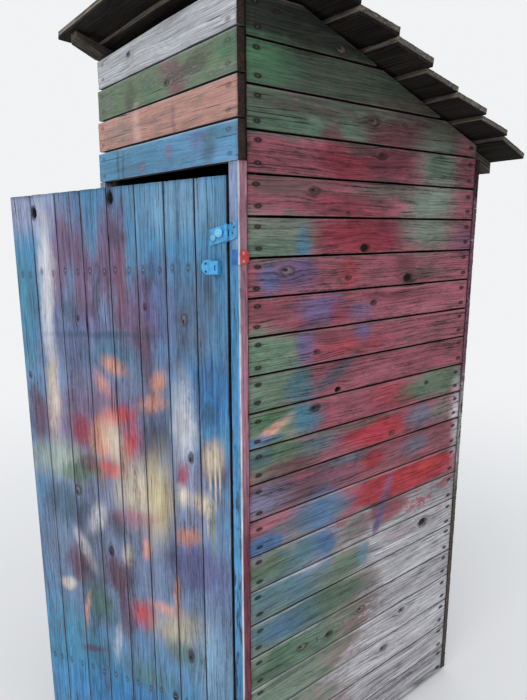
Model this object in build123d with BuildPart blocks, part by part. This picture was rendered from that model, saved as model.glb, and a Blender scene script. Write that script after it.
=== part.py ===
from build123d import *
from math import atan2, cos, hypot, radians, sin, tan
import os

# A small lean-to outhouse of weathered boards, with one ledged door hung on the right.
# Millimetres. +Z is up, the front wall faces -Y, and the origin is on the ground
# in the middle of the four walls.

os.makedirs("parts", exist_ok=True)

# Driving sizes of the shell
width = 820                 # over the outer faces of the side walls
depth = 994                 # over the front and back boards
board = 26                  # thickness of the front, side and back boards
post = 50                   # square corner posts
ground_gap = 12             # the lowest boards hang this far above the ground
slit = 5                    # open joint between two wall boards
back_slit = 2               # tighter joints of the back wall
lower_pitch = 105.5         # board and joint of the right and back walls
lower_rows = 10             # rows of it in the right wall
upper_pitch = 100           # board and joint above them
left_pitch = 104.2          # board and joint of the left wall
sliver = 20                 # no narrower piece is left at the top of a side wall
seat = 0.2                  # clearance where an edge or a slope rests on another piece

# Floor
sill_height = 50
floor_board = 24
floor_rows = 8
floor_joint = 5
notch_gap = 1               # floor boards round the posts

# Roof: a single slope that falls to the back and leans a little to the left
roof_pitch = 18.5           # degrees
roof_lean = 1.0             # degrees, right side higher
rafter_width = 45
rafter_depth = 35
rafter_rise = 5             # rafters over the top header board, in the middle of the front
rafter_front = 78           # tails beyond the front face
rafter_back = 104           # tails beyond the back boards
tail_taper = 5              # degrees, the underside of the front tails
tail_bevel = 14             # degrees, the same, hewn up towards the inner side
tail_level = 24             # the last length of the rear tails, cut level underneath
roof_rows = 9
thick_rows = 5              # the front boards are thicker
thick_roof = 25
thin_roof = 19
roof_spacing = 143          # along the slope, from one lapped board to the next
first_spacing = 106         # the front board is ripped narrower
first_edge = -92            # front edge, along the slope from the front face
roof_lap = 11               # a board runs this far over the edge of the one below it
last_width = 142            # the last board lies flat on the rafters
roof_right = 106            # overhang beyond the right wall
roof_left = 60              # overhang beyond the left wall

# Front wall over and beside the doorway
strip_width = 42
header_bottom = 1893
header_pitch = 97
header_rows = 4
header_step = 10            # each header board is cut this much shorter on the left
first_cut = 3

# Door, hung a little out of square
door_thickness = 21
door_gap = 6                # between the door's edges and the strips
door_pitch = 92.5
door_joint = 3
door_head_gap = 27          # from the door's top to the header, at the hinge side
door_bottom = 75            # at the hinge side
door_drop = 35              # the free edge hangs lower
door_open = 27              # degrees, as it stands
ledge_height = 90
ledge_thickness = 25
ledge_gap = 10              # from the ledge ends to the posts
upper_ledge_drop = 223      # its centre below the door's top, at the hinge side
lower_ledge_rise = 255      # its centre above the door's bottom, at the hinge side

# Hinges
knuckle_radius = 5
pin_radius = 2.5
pin_play = 0.1
pin_head_radius = 4
pin_head = 2
axis_out = 6                # pin axis in front of the boards
leaf = 2
hinge_height = 40
knuckle_gap = 0.4
leaf_start = 6              # leaves start clear of the other leaf's knuckles
door_leaf_length = 44
strip_leaf_length = 34
leaf_slant = 0.28           # the leaves are cut on a slant
bolt_reach = 22             # round bolt head, from the pin axis
bolt_rise = 4
bolt_radius = 11
bolt_height = 5
nut_reach = 38              # round nut beyond it
nut_rise = -8
nut_radius = 8
nut_height = 4
upper_hinge_drop = 138      # its centre below the door's top
lower_hinge_rise = 125      # its centre above the door's bottom

# Latch case on the door, and the strap bent round the right strip
case_start = 19.5           # from the pin axis
case_width = 24
case_height = 34
case_depth = 18
case_round = 3
flange_length = 32          # beyond the case, with a round end
flange_height = 38
case_drop = 223             # its centre below the door's top
slot_in = 7.5               # its middle from the case's hinge side
slot_width = 4
slot_height = 14
slot_depth = 6
strap_height = 35
strap_drop = 196            # its centre below the door's top
strap_front_leg = 27
strap_side_leg = 28
strap_thickness = 2
strap_round = 12

# Derived places
half_width = width / 2
front = -depth / 2
back = depth / 2
inner_side = half_width - board
inner_front = front + board
inner_back = back - board
post_centre_x = inner_side - post / 2
post_centre_y = inner_back - post / 2
between_posts = 2 * (inner_side - post)
doorway_half = half_width - strip_width
door_width = 2 * (doorway_half - door_gap)
hinge_x = doorway_half - door_gap / 2
hinge_y = front - axis_out
door_start = door_gap / 2               # pin axis to the door's hinge edge
door_top = header_bottom - door_head_gap
upper_ledge = door_top - upper_ledge_drop
lower_ledge = door_bottom + lower_ledge_rise
upper_hinge = door_top - upper_hinge_drop
lower_hinge = door_bottom + lower_hinge_rise
case_centre = door_top - case_drop
strap_low = door_top - strap_drop - strap_height / 2
header_top = header_bottom + header_rows * header_pitch

# Rafter tops at the middle of the front face, and the two slopes that the rafters lie between
rafter_drop = rafter_depth / cos(radians(roof_pitch))
roof_height = header_top + rafter_rise + rafter_drop
roof_plane = Plane((0, front, roof_height)).rotated((-roof_pitch, -roof_lean, 0))
rafter_bottom = roof_plane.offset(-rafter_depth)


def save(piece, name):
    """Label one finished piece and write it as its own file."""
    piece.part.label = name
    export_step(piece.part, f"parts/{name}.step")


def rows(pitches, joint):
    """Low and high edge of each board in a stack, from the lowest up."""
    low = ground_gap
    for pitch in pitches:
        yield low + joint / 2, low + pitch - joint / 2
        low += pitch


# Corner posts, up to the underside of the rafters
for name, side, end in (
    ("front_left_post", -1, -1),
    ("front_right_post", 1, -1),
    ("back_left_post", -1, 1),
    ("back_right_post", 1, 1),
):
    with BuildPart() as corner_post:
        with BuildSketch(Plane.XY):
            with Locations((side * post_centre_x, end * post_centre_y)):
                Rectangle(post, post)
        extrude(amount=roof_height)
        split(bisect_by=rafter_bottom.offset(-seat), keep=Keep.BOTTOM)
    save(corner_post, name)

# Floor frame: a sill between each pair of posts and a joist in the middle
for name, centre_y, length in (
    ("front_sill", -post_centre_y, between_posts),
    ("middle_joist", 0, 2 * inner_side),
    ("back_sill", post_centre_y, between_posts),
):
    with BuildPart() as bearer:
        with BuildSketch(Plane.XY):
            with Locations((0, centre_y)):
                Rectangle(length, post)
        extrude(amount=sill_height)
    save(bearer, name)

# Floor boards run front to back and are notched round the posts
floor_pitch = 2 * inner_side / floor_rows
with BuildPart() as floor_boards:
    with BuildSketch(Plane.XY.offset(sill_height)):
        with GridLocations(floor_pitch, 0, floor_rows, 1):
            Rectangle(floor_pitch - floor_joint, inner_back - inner_front)
        with GridLocations(2 * post_centre_x, 2 * post_centre_y, 2, 2):
            Rectangle(post + 2 * notch_gap, post + 2 * notch_gap, mode=Mode.SUBTRACT)
    extrude(amount=floor_board)
save(floor_boards, "floor_boards")

# Rafters, against the inner faces of the side boards
rafter_length = depth + rafter_back
rafter_centre_y = rafter_back / 2
level_height = roof_height - rafter_drop - (rafter_length - tail_level) * tan(radians(roof_pitch))
for name, side in (("left_rafter", -1), ("right_rafter", 1)):
    with BuildPart() as rafter:
        with BuildSketch(Plane.XY):
            with Locations((side * (inner_side - rafter_width / 2), rafter_centre_y)):
                Rectangle(rafter_width, rafter_length)
        extrude(amount=2 * roof_height)
        split(bisect_by=roof_plane.offset(-seat), keep=Keep.BOTTOM)
        split(bisect_by=rafter_bottom, keep=Keep.TOP)
        split(bisect_by=Plane.XY.offset(level_height), keep=Keep.TOP)
    with BuildPart() as front_tail:
        with BuildSketch(Plane.XY):
            with Locations((side * (inner_side - rafter_width / 2), front - rafter_front / 2)):
                Rectangle(rafter_width, rafter_front)
        extrude(amount=2 * roof_height)
        foot = rafter_bottom.from_local_coords((side * inner_side, 0, 0))
        tail_bottom = Plane(foot, x_dir=rafter_bottom.x_dir, z_dir=rafter_bottom.z_dir)
        split(bisect_by=roof_plane.offset(-seat), keep=Keep.BOTTOM)
        split(bisect_by=tail_bottom.rotated((-tail_taper, side * tail_bevel, 0)), keep=Keep.TOP)
    with BuildPart() as whole_rafter:
        add(rafter)
        add(front_tail)
    save(whole_rafter, name)

# Side walls: boards between the front and back boards, trimmed to the roof slope
for name, side, lower_count, upper in (
    ("left_wall_boards", -1, 0, left_pitch),
    ("right_wall_boards", 1, lower_rows, upper_pitch),
):
    lean_rise = side * half_width * sin(radians(roof_lean))
    wall_top = roof_height + lean_rise - board * tan(radians(roof_pitch))
    upper_height = wall_top - ground_gap - lower_count * lower_pitch
    upper_count = int((upper_height - sliver) / upper) + 1
    pitches = [lower_pitch] * lower_count + [upper] * upper_count
    wall_plane = Plane.YZ.offset(side * (half_width - board / 2))
    with BuildPart() as side_wall:
        with BuildSketch(wall_plane):
            for low, high in rows(pitches, slit):
                with Locations((0, (low + high) / 2)):
                    Rectangle(inner_back - inner_front, high - low)
        extrude(amount=board / 2, both=True)
        split(bisect_by=roof_plane.offset(-seat), keep=Keep.BOTTOM)
    save(side_wall, name)

# Back wall: boards over the rear ends of the side boards
back_rows = int((roof_height - ground_gap) / lower_pitch)
with BuildPart() as back_wall:
    with BuildSketch(Plane.XZ.offset(-back)):
        for low, high in rows([lower_pitch] * back_rows, back_slit):
            with Locations((0, (low + high) / 2)):
                Rectangle(width, high - low)
    extrude(amount=board)
    split(bisect_by=rafter_bottom.offset(-seat), keep=Keep.BOTTOM)
save(back_wall, "back_wall_boards")

# Header boards over the doorway, nailed to the posts
for row in range(header_rows):
    left_end = -half_width + first_cut + row * header_step
    low = header_bottom + row * header_pitch
    with BuildPart() as header_board:
        with BuildSketch(Plane.XZ.offset(-front)):
            with Locations(((left_end + half_width) / 2, low + header_pitch / 2)):
                Rectangle(half_width - left_end, header_pitch - slit)
        extrude(amount=-board)
        split(bisect_by=rafter_bottom.offset(-seat), keep=Keep.BOTTOM)
    save(header_board, f"header_board_{row + 1}")

# Jamb strips stand beside the doorway, flush with the header boards
strip_top = header_bottom + slit / 2 - seat
for name, side in (("left_jamb_strip", -1), ("right_jamb_strip", 1)):
    with BuildPart() as jamb_strip:
        with BuildSketch(Plane.XY.offset(ground_gap)):
            with Locations((side * (half_width - strip_width / 2), front + board / 2)):
                Rectangle(strip_width, board)
        extrude(amount=strip_top - ground_gap)
    save(jamb_strip, name)

# Lapped roof boards: the upper edge rests on the rafters, the lower edge on the next board
roof_section = Plane(
    roof_plane.from_local_coords((-half_width - roof_left, 0, 0)),
    x_dir=roof_plane.y_dir,
    z_dir=roof_plane.x_dir,
)
roof_length = roof_left + width + roof_right
edges = [first_edge] + [first_edge + first_spacing + row * roof_spacing for row in range(roof_rows - 1)]


def lapped_board(edge, tilt, board_width, thickness):
    """Close the section of one roof board, tilted up towards its lower edge."""
    along = (cos(tilt), sin(tilt))
    up = (-sin(tilt), cos(tilt))
    foot = (edge, seat)
    toe = (foot[0] + board_width * along[0], foot[1] + board_width * along[1])
    top_toe = (toe[0] + thickness * up[0], toe[1] + thickness * up[1])
    top_foot = (foot[0] + thickness * up[0], foot[1] + thickness * up[1])
    Polyline(foot, toe, top_toe, top_foot, close=True)


tilt = 0
board_width = last_width
for row in reversed(range(roof_rows)):
    thickness = thick_roof if row < thick_rows else thin_roof
    with BuildPart() as roof_board:
        with BuildSketch(roof_section):
            with BuildLine():
                lapped_board(edges[row], tilt, board_width, thickness)
            make_face()
        extrude(amount=roof_length)
    save(roof_board, f"roof_board_{row + 1}")
    # The board above leans on this one's upper front corner
    if row:
        rise = thickness * cos(tilt) + seat
        run = edges[row] - thickness * sin(tilt) - edges[row - 1]
        tilt = atan2(rise, run)
        board_width = hypot(rise, run) + roof_lap

# Door plane: x towards the hinge, y up, z outwards, with the pin axis at its origin
swing = radians(door_open)
door_axis = Plane((hinge_x, hinge_y, 0), x_dir=(cos(swing), sin(swing), 0), z_dir=(sin(swing), -cos(swing), 0))
door_face = door_axis.offset(-axis_out)
door_back = door_face.offset(-door_thickness)


def sagging(height, reach):
    """Height of a line of the door at a distance from its hinge edge."""
    return height - door_drop * (reach - door_start) / door_width


def door_panel(start, end, low, high):
    """Close an upright-sided outline whose top and bottom sag with the door."""
    Polyline(
        (-start, sagging(low, start)),
        (-end, sagging(low, end)),
        (-end, sagging(high, end)),
        (-start, sagging(high, start)),
        close=True,
    )


with BuildPart() as door_boards:
    door_end = door_start + door_width
    start = door_start
    while start < door_end:
        end = min(start + door_pitch - door_joint, door_end)
        with BuildSketch(door_face):
            with BuildLine():
                door_panel(start, end, door_bottom, door_top)
            make_face()
        start += door_pitch
    extrude(amount=-door_thickness)
save(door_boards, "door_boards")

ledge_start = hinge_x - (inner_side - post) + ledge_gap
ledge_end = hinge_x + (inner_side - post) - ledge_gap
for name, centre in (("door_upper_ledge", upper_ledge), ("door_lower_ledge", lower_ledge)):
    with BuildPart() as ledge:
        with BuildSketch(door_back):
            with BuildLine():
                door_panel(ledge_start, ledge_end, centre - ledge_height / 2, centre + ledge_height / 2)
            make_face()
        extrude(amount=-ledge_thickness)
    save(ledge, name)


def slanted_leaf(start, length, low, high, side):
    """Close a leaf's outline on a face; side is -1 on the door and 1 on the strip."""
    rise = side * leaf_slant * length
    Polyline(
        (side * start, low),
        (side * (start + length), low + rise),
        (side * (start + length), high + rise),
        (side * start, high),
        close=True,
    )


def knuckle_leaf(face, centre, length, side, knuckles, studs=()):
    """Build one hinge leaf: plate, tabs to the barrel, knuckles, and studs of a radius and height."""
    low = centre - hinge_height / 2
    with BuildPart() as hinge_leaf:
        with BuildSketch(face):
            with BuildLine():
                slanted_leaf(leaf_start, length, low, low + hinge_height, side)
            make_face()
            for knuckle_low, knuckle_high in knuckles:
                with Locations((side * leaf_start / 2, (knuckle_low + knuckle_high) / 2)):
                    Rectangle(leaf_start, knuckle_high - knuckle_low)
        extrude(amount=leaf)
        for knuckle_low, knuckle_high in knuckles:
            with BuildSketch(Plane((hinge_x, hinge_y, knuckle_low))):
                Circle(knuckle_radius)
            extrude(amount=knuckle_high - knuckle_low)
        with BuildSketch(Plane((hinge_x, hinge_y, low))):
            Circle(pin_radius + pin_play)
        extrude(amount=hinge_height, mode=Mode.SUBTRACT)
        for reach, rise, radius, height in studs:
            with BuildSketch(face.offset(leaf)):
                with Locations((side * reach, centre + rise)):
                    Circle(radius)
            extrude(amount=height)
    return hinge_leaf


frame_face = Plane((hinge_x, front, 0), x_dir=(1, 0, 0), z_dir=(0, -1, 0))
door_studs = (
    (bolt_reach, bolt_rise, bolt_radius, bolt_height),
    (nut_reach, nut_rise, nut_radius, nut_height),
)
for name, centre in (("upper_hinge", upper_hinge), ("lower_hinge", lower_hinge)):
    low = centre - hinge_height / 2
    third = hinge_height / 3
    outer_knuckles = (
        (low, low + third - knuckle_gap),
        (low + 2 * third + knuckle_gap, low + hinge_height),
    )
    middle_knuckle = ((low + third, low + 2 * third),)

    strip_leaf = knuckle_leaf(frame_face, centre, strip_leaf_length, 1, outer_knuckles)
    save(strip_leaf, f"{name}_strip_leaf")

    door_leaf = knuckle_leaf(door_face, centre, door_leaf_length, -1, middle_knuckle, door_studs)
    save(door_leaf, f"{name}_door_leaf")

    with BuildPart() as pin:
        with BuildSketch(Plane((hinge_x, hinge_y, low - pin_play))):
            Circle(pin_radius)
        extrude(amount=hinge_height + 2 * pin_play)
        with BuildSketch(Plane((hinge_x, hinge_y, low - pin_play))):
            Circle(pin_head_radius)
        extrude(amount=-pin_head)
        with BuildSketch(Plane((hinge_x, hinge_y, low + hinge_height + pin_play))):
            Circle(pin_head_radius)
        extrude(amount=pin_head)
    save(pin, f"{name}_pin")

# Latch case on the door, with its screw flange on the side away from the hinge
case_end = case_start + case_width
flange_centre = case_end + flange_length - flange_height / 2
with BuildPart() as latch_case:
    with BuildSketch(door_face):
        with Locations((-(case_start + case_end) / 2, case_centre)):
            Rectangle(case_width, case_height)
    extrude(amount=case_depth)
    front_face = latch_case.faces().sort_by(Axis(door_face.origin, door_face.z_dir))[-1]
    fillet(front_face.edges(), radius=case_round)
    with BuildSketch(door_face):
        with Locations((-flange_centre, case_centre)):
            Circle(flange_height / 2)
        with Locations((-(case_end + flange_centre) / 2, case_centre)):
            Rectangle(flange_centre - case_end, flange_height)
    extrude(amount=leaf)
    with BuildSketch(door_face.offset(case_depth)):
        with Locations((-case_start - slot_in, case_centre)):
            Rectangle(slot_width, slot_height)
    extrude(amount=-slot_depth, mode=Mode.SUBTRACT)
save(latch_case, "latch_case")

# Strap bent round the right strip's outer corner
with BuildPart() as corner_strap:
    with BuildSketch(Plane.XY.offset(strap_low)):
        with BuildLine():
            Polyline(
                (half_width - strap_front_leg, front),
                (half_width, front),
                (half_width, front + strap_side_leg),
                (half_width + strap_thickness, front + strap_side_leg),
                (half_width + strap_thickness, front - strap_thickness),
                (half_width - strap_front_leg, front - strap_thickness),
                close=True,
            )
        make_face()
    extrude(amount=strap_height)
    end_edges = corner_strap.faces().sort_by(Axis.Y)[-1].edges().filter_by(Axis.X)
    fillet(end_edges, radius=strap_round)
save(corner_strap, "corner_strap")
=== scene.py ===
import math
import zlib

import bpy
import numpy as np
from mathutils import Matrix, Vector


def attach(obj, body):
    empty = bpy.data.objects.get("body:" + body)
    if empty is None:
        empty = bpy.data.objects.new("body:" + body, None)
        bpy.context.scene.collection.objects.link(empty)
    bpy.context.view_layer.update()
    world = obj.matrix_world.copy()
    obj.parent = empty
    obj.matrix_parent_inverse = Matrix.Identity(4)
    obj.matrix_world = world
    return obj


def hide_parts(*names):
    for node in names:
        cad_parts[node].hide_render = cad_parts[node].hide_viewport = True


# Looks of the small outhouse: every board is rebuilt as a worn plank round its own CAD solid,
# nailed, cracked and knotty, with patchy spray paint. Metres, in the frame of the CAD part.
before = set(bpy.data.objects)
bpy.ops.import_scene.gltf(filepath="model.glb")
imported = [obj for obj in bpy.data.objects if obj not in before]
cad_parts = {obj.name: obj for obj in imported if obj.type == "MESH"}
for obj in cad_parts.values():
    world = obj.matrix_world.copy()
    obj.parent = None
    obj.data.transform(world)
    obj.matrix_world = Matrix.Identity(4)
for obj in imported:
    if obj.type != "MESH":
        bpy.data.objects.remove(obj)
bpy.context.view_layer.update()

# Random numbers: one table of smooth noise, and a generator of its own for each named thing
NOISE_SEED = 11
TABLE_SIZE = 256
noise_table = np.random.default_rng(NOISE_SEED).random((TABLE_SIZE, TABLE_SIZE))


def seeded(name):
    return np.random.default_rng(zlib.crc32(name.encode()))


def noise(x, y):
    """Smooth noise from -1 to 1, where x and y count cells."""
    column = np.floor(x).astype(int)
    row = np.floor(y).astype(int)
    fx, fy = [part * part * (3 - 2 * part) for part in (x - column, y - row)]

    def corner(i, j):
        return noise_table[(column + i) % TABLE_SIZE, (row + j) % TABLE_SIZE]

    low = corner(0, 0) * (1 - fx) + corner(1, 0) * fx
    high = corner(0, 1) * (1 - fx) + corner(1, 1) * fx
    return 2 * (low * (1 - fy) + high * fy) - 1


# Directions
X, Y, Z = np.eye(3)
DOOR_OPEN = math.radians(27)
ROOF_PITCH = math.radians(18.5)
DOOR_OUT = np.array((math.sin(DOOR_OPEN), -math.cos(DOOR_OPEN), 0.0))
DOOR_FREE = np.array((-math.cos(DOOR_OPEN), -math.sin(DOOR_OPEN), 0.0))
HINGE = np.array((0.365, -0.503, 0.0))
DOWN_SLOPE = np.array((0.0, math.cos(ROOF_PITCH), -math.sin(ROOF_PITCH)))

# Plank shape
EDGE_RADIUS = 0.0015        # worn arris along a board
END_RADIUS = 0.0012         # worn arris at a sawn end
ARC = np.radians(np.array((22.5, 45.0, 67.5)))
SIDE_POINTS = 3             # points down each narrow side
SAME_FACE = 0.0005          # corners this near a face's depth belong to it
THIN_TIP = 0.004            # a board trimmed to the slope ends where it is this thin
TIP_STEPS = 400
NEAR_TIP = 0.02             # a board that is clearly narrower this near its end is a trimmed one
NARROWER = 0.9
CLOSEST_COLUMN = 0.0002     # mesh lines nearer than this, along or round the board, are left out
CLOSEST_RING = 0.0008
CRACK_RING = 0.001          # a mesh line goes this far inside each end of a crack
KNOT_LINES = np.array((-1.2, -0.95, -0.5, 0.0, 0.5, 0.95, 1.2))     # mesh lines over a knot, in radii

# Plank wear, all of it inwards so that the board stays inside its solid
LEAST_WEAR = 0.0001
USUAL_WEAR = 0.0005
WORN_SHARE = 0.14           # the wavy edges reach over this share of the width
WANDER = 0.006              # the mesh lines of the face swing sideways by up to a quarter of this
RIDGE = 0.00022             # fine and broad relief of the face
SWELL = 0.0005
RAG = 0.0008                # ragged saw cuts, and how far they reach along the board
RAG_REACH = 0.02
EDGE_WAVES = 9              # waves per metre, or per metre along the grain and across it
WANDER_WAVES = 4
RIDGE_WAVES = (8, 240)
SWELL_WAVES = (3, 22)
RAG_WAVES = (110, 90)

# Marks on a plank
KNOT_STRETCH = 1.4          # a knot is longer along the board by this much
KNOT_REACH = 5.0            # the grain bends round a knot for this many radii
KNOT_SIZES = (0.004, 0.010)     # ranges of a random knot: radius, share of the length, and tone
KNOT_PLACES = (0.08, 0.92)
KNOT_TONES = (0.05, 0.75)
KNOTS_APART = 0.1
KNOT_RING = 0.0012          # a knot's rim is sunk this deep, over this share of its radius
RING_SHARE = 0.18
HOLE_DEPTH = 0.012
HOLE_EDGE = 1.1             # a hole's wall slopes from this many radii, over the next share of one
HOLE_WALL = 0.25
HOLE_SHARE = 0.6            # the most of the thickness that a hole takes, or a crack
CRACK_SHARE = 0.4
CRACK_DEPTH = 0.006
CRACK_LENGTHS = (0.05, 0.28)    # ranges of a random crack: shares of the length and across, and width
CRACK_PLACES = (0.15, 0.85)
CRACK_WIDTHS = (0.0005, 0.0011)
LONG_TAPER = 0.05           # a crack closes over these lengths, at an inner end
SHORT_TAPER = 0.02
AT_END = 0.002              # a crack that starts this near an end is open there
DARK_FROM = 0.001           # the dark of a crack starts this far before it and stops short of its end
DARK_SHORT = 0.01
ON_LINE = 0.0001            # mesh points this near a crack's line are on it
NAIL_REACH = 0.016          # stains stay within this distance of a nail
NAIL_EDGE = 0.021           # nails stand this far from the long edges, and the inset from the ends
NAIL_INSET = 0.03
NAIL_STRAY = 0.004          # and up to this far out of place
FAR_AWAY = 9.0              # stands for no mark at all
FAR_MARK = (1.0, 1.0, 0.0)


def solids(node):
    """Corner points of each separate solid of a CAD node, sorted by height and then across."""
    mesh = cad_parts[node].data
    points = np.array([tuple(v.co) for v in mesh.vertices])
    keys, index = np.unique(np.round(points, 5), axis=0, return_inverse=True)
    index = index.reshape(-1)
    parent = list(range(len(keys)))

    def root(i):
        while parent[i] != i:
            i = parent[i]
        return i

    for polygon in mesh.polygons:
        first, *others = [index[v] for v in polygon.vertices]
        for corner in others:
            parent[root(corner)] = root(first)
    groups = {}
    for i in range(len(keys)):
        groups.setdefault(root(i), []).append(keys[i])
    found = [np.array(group) for group in groups.values()]
    return sorted(found, key=lambda g: (round(g[:, 2].mean(), 3), g[:, 0].mean()))


def plane_through(points, values):
    """A value as a flat function of across and depth, fitted to a board end's corners."""
    rows = np.c_[np.ones(len(points)), points]
    fit = np.linalg.lstsq(rows, values, rcond=None)[0]
    return lambda v, w: fit[0] + fit[1] * v + fit[2] * w


def nearest_mark(xx, vv, marks, reach):
    """Offsets to the nearest mark and its size, which is nothing beyond the reach in sizes.

    The size also fades to nothing midway to the next mark.
    """
    found = np.empty(vv.shape + (3,))
    found[:] = FAR_MARK
    which = np.zeros(vv.shape, dtype=int)
    nearest = np.full(vv.shape, FAR_AWAY)
    second = nearest
    for i, (x, v, size) in enumerate(marks):
        away = np.hypot(0.5 * (xx - x), vv - v) / size
        closer = away < nearest
        second = np.minimum(second, np.maximum(away, nearest))
        nearest = np.where(closer, away, nearest)
        which = np.where(closer, i, which)
        felt = np.where(away < reach, size, 0.0)
        found = np.where(closer[..., None], np.stack([xx - x, vv - v, felt], -1), found)
    found[..., 2] *= np.clip(second - nearest, 0, 1)
    return found, which


def upper_chain(local, face_depth):
    """Lengths and heights of the upper edge of a trimmed board on one of its faces."""
    on_face = local[np.abs(local[:, 2] - face_depth) < SAME_FACE]
    tops = {}
    for x, v, _ in on_face:
        key = round(x, 4)
        tops[key] = max(tops.get(key, -FAR_AWAY), v)
    xs = sorted(tops)
    return xs, [tops[x] for x in xs]


def spaced(spots, least):
    """Sorted places, without those that follow their neighbour too closely."""
    return [spots[0]] + [b for a, b in zip(spots, spots[1:]) if b - a > least]


class Plank:
    """One board: its place and size, read from a CAD solid, and the marks on it."""

    def __init__(self, name, corners, along, out, trimmed=False, snug=0.0):
        self.along = along / np.linalg.norm(along)
        self.out = out / np.linalg.norm(out)
        self.across = np.cross(self.out, self.along)
        local = corners @ np.array([self.along, self.across, self.out]).T
        lowest = local.min(0)
        highest = local.max(0)
        middle_x, middle_v, _ = (lowest + highest) / 2
        self.inner, self.outer = lowest[2], highest[2]
        self.kinks = []
        if trimmed:
            chains = [upper_chain(local, depth) for depth in (self.inner, self.outer)]
            self.kinks = [x for xs, _ in chains for x in xs]
            self.low = lowest[1] - snug
            self.high = lambda x: np.minimum(*[np.interp(x, xs, vs) for xs, vs in chains]) + snug
            steps = np.linspace(lowest[0], highest[0], TIP_STEPS)
            tall = steps[self.high(steps) - self.low > THIN_TIP]
            self.start = lambda v, w: tall[0] + 0 * v
            self.end = lambda v, w: tall[-1] + 0 * v
        else:
            self.low = local[local[:, 1] < middle_v, 1].max()
            top = local[local[:, 1] > middle_v, 1].min()
            self.high = lambda x: top + 0 * x
            near = local[local[:, 0] < middle_x]
            far = local[local[:, 0] > middle_x]
            self.start = plane_through(near[:, 1:], near[:, 0])
            self.end = plane_through(far[:, 1:], far[:, 0])
        corner = np.array([self.low]), np.array([self.outer])
        self.x0 = float(self.start(*corner)[0])
        self.x1 = float(self.end(*corner)[0])
        self.length = self.x1 - self.x0
        self.width = float(self.high(np.linspace(self.x0, self.x1, 50)).max() - self.low)
        self.thickness = self.outer - self.inner
        self.knots = []
        self.nails = []
        self.cracks = []
        self.shortened = 0.0
        self.wear = USUAL_WEAR
        self.rng = seeded(name)

    def world(self, x, v, w):
        axes = ((x, self.along), (v, self.across), (w, self.out))
        return sum(np.multiply.outer(value, axis) for value, axis in axes)

    def height_at(self, x):
        return float(self.high(np.array([x]))[0] - self.low)

    def holds(self, point, margin=0.004):
        """Place of a point on the board's face as length and height, or nothing beyond it."""
        x = float(point @ self.along)
        v = float(point @ self.across)
        inside = self.x0 < x < self.x1 and self.low + margin < v < self.low + self.height_at(x) - margin
        return (x - self.x0, v - self.low) if inside else None

    def nail_pair(self, x):
        """Two nails side by side at a distance along the board, or one where it is narrow."""
        height = self.height_at(x)
        if height < NAIL_EDGE:
            return
        spots = [NAIL_EDGE, height - NAIL_EDGE] if height > 3 * NAIL_EDGE else [height / 2]
        for spot in spots:
            shift = self.rng.uniform(-NAIL_STRAY, NAIL_STRAY, 2)
            self.nails.append((x + shift[0], self.low + spot + shift[1]))

    def end_nails(self, inset=NAIL_INSET):
        self.nail_pair(self.x0 + inset)
        self.nail_pair(self.x1 - inset)

    def knot(self, x, v, radius, tone, hole=False):
        """A knot, by distance from the start and from the lower edge."""
        self.knots.append((self.x0 + x, self.low + v, radius, tone, hole))

    def crack(self, v, start, end, width):
        """A split along the grain, by distance from the lower edge and from the start."""
        self.cracks.append((v, self.x0 + start, self.x0 + end, width))

    def random_marks(self, knots=1.5, cracks=1.2):
        """Knots clear of the others and cracks from either end, this many of each on average."""
        rng = self.rng
        for _ in range(rng.poisson(knots)):
            radius = rng.uniform(*KNOT_SIZES)
            spot = rng.uniform(*KNOT_PLACES) * self.length
            room = self.height_at(self.x0 + spot) - 4 * radius
            clear = all(abs(self.x0 + spot - x) > KNOTS_APART for x, *_ in self.knots)
            if room > 0 and clear:
                self.knot(spot, 2 * radius + rng.uniform(0, 1) * room, radius, rng.uniform(*KNOT_TONES))
        for _ in range(rng.poisson(cracks)):
            reach = rng.uniform(*CRACK_LENGTHS) * min(self.length, 1.0)
            v = rng.uniform(*CRACK_PLACES) * self.width
            tapered = self.height_at(self.x1 - NEAR_TIP) < NARROWER * self.width
            start = 0.0 if tapered or rng.random() < 0.5 else self.length - reach
            self.crack(v, start, start + reach, rng.uniform(*CRACK_WIDTHS))

    def columns(self, spacing):
        """Places across the face, denser at cracks and knots, as distances from the lower edge."""
        flat = self.width - 2 * EDGE_RADIUS
        spots = list(np.linspace(EDGE_RADIUS, self.width - EDGE_RADIUS, max(3, int(flat / spacing) + 1)))
        marks = []
        for v, _, _, width in self.cracks:
            marks += [v - width, v, v + width]
        for _, v, radius, _, _ in self.knots:
            marks += list(v - self.low + radius * KNOT_LINES)
        marks = [m for m in marks if EDGE_RADIUS < m < self.width - EDGE_RADIUS]
        kept = [s for s in spots[1:-1] if all(abs(s - m) > 0.4 * spacing for m in marks)]
        return np.array(spaced(sorted(kept + marks + [spots[0], spots[-1]]), CLOSEST_COLUMN))

    def rings(self, spacing):
        """Fractions of the length at which the board is cut, denser at its ends and knots."""
        count = max(4, int(self.length / spacing))
        spots = list(np.linspace(END_RADIUS, self.length - END_RADIUS, count))
        for x, _, radius, _, _ in self.knots:
            spots += list(x - self.x0 + KNOT_STRETCH * radius * KNOT_LINES)
        for _, start, end, _ in self.cracks:
            spots += [start - self.x0 + CRACK_RING, end - self.x0 - CRACK_RING]
        spots += [kink - self.x0 for kink in self.kinks]
        spots = spaced(sorted(s for s in spots if END_RADIUS <= s <= self.length - END_RADIUS), CLOSEST_RING)
        ends = [0.0, 0.3 * END_RADIUS]
        return np.array(ends + spots + [self.length - e for e in reversed(ends)]) / self.length

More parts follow.
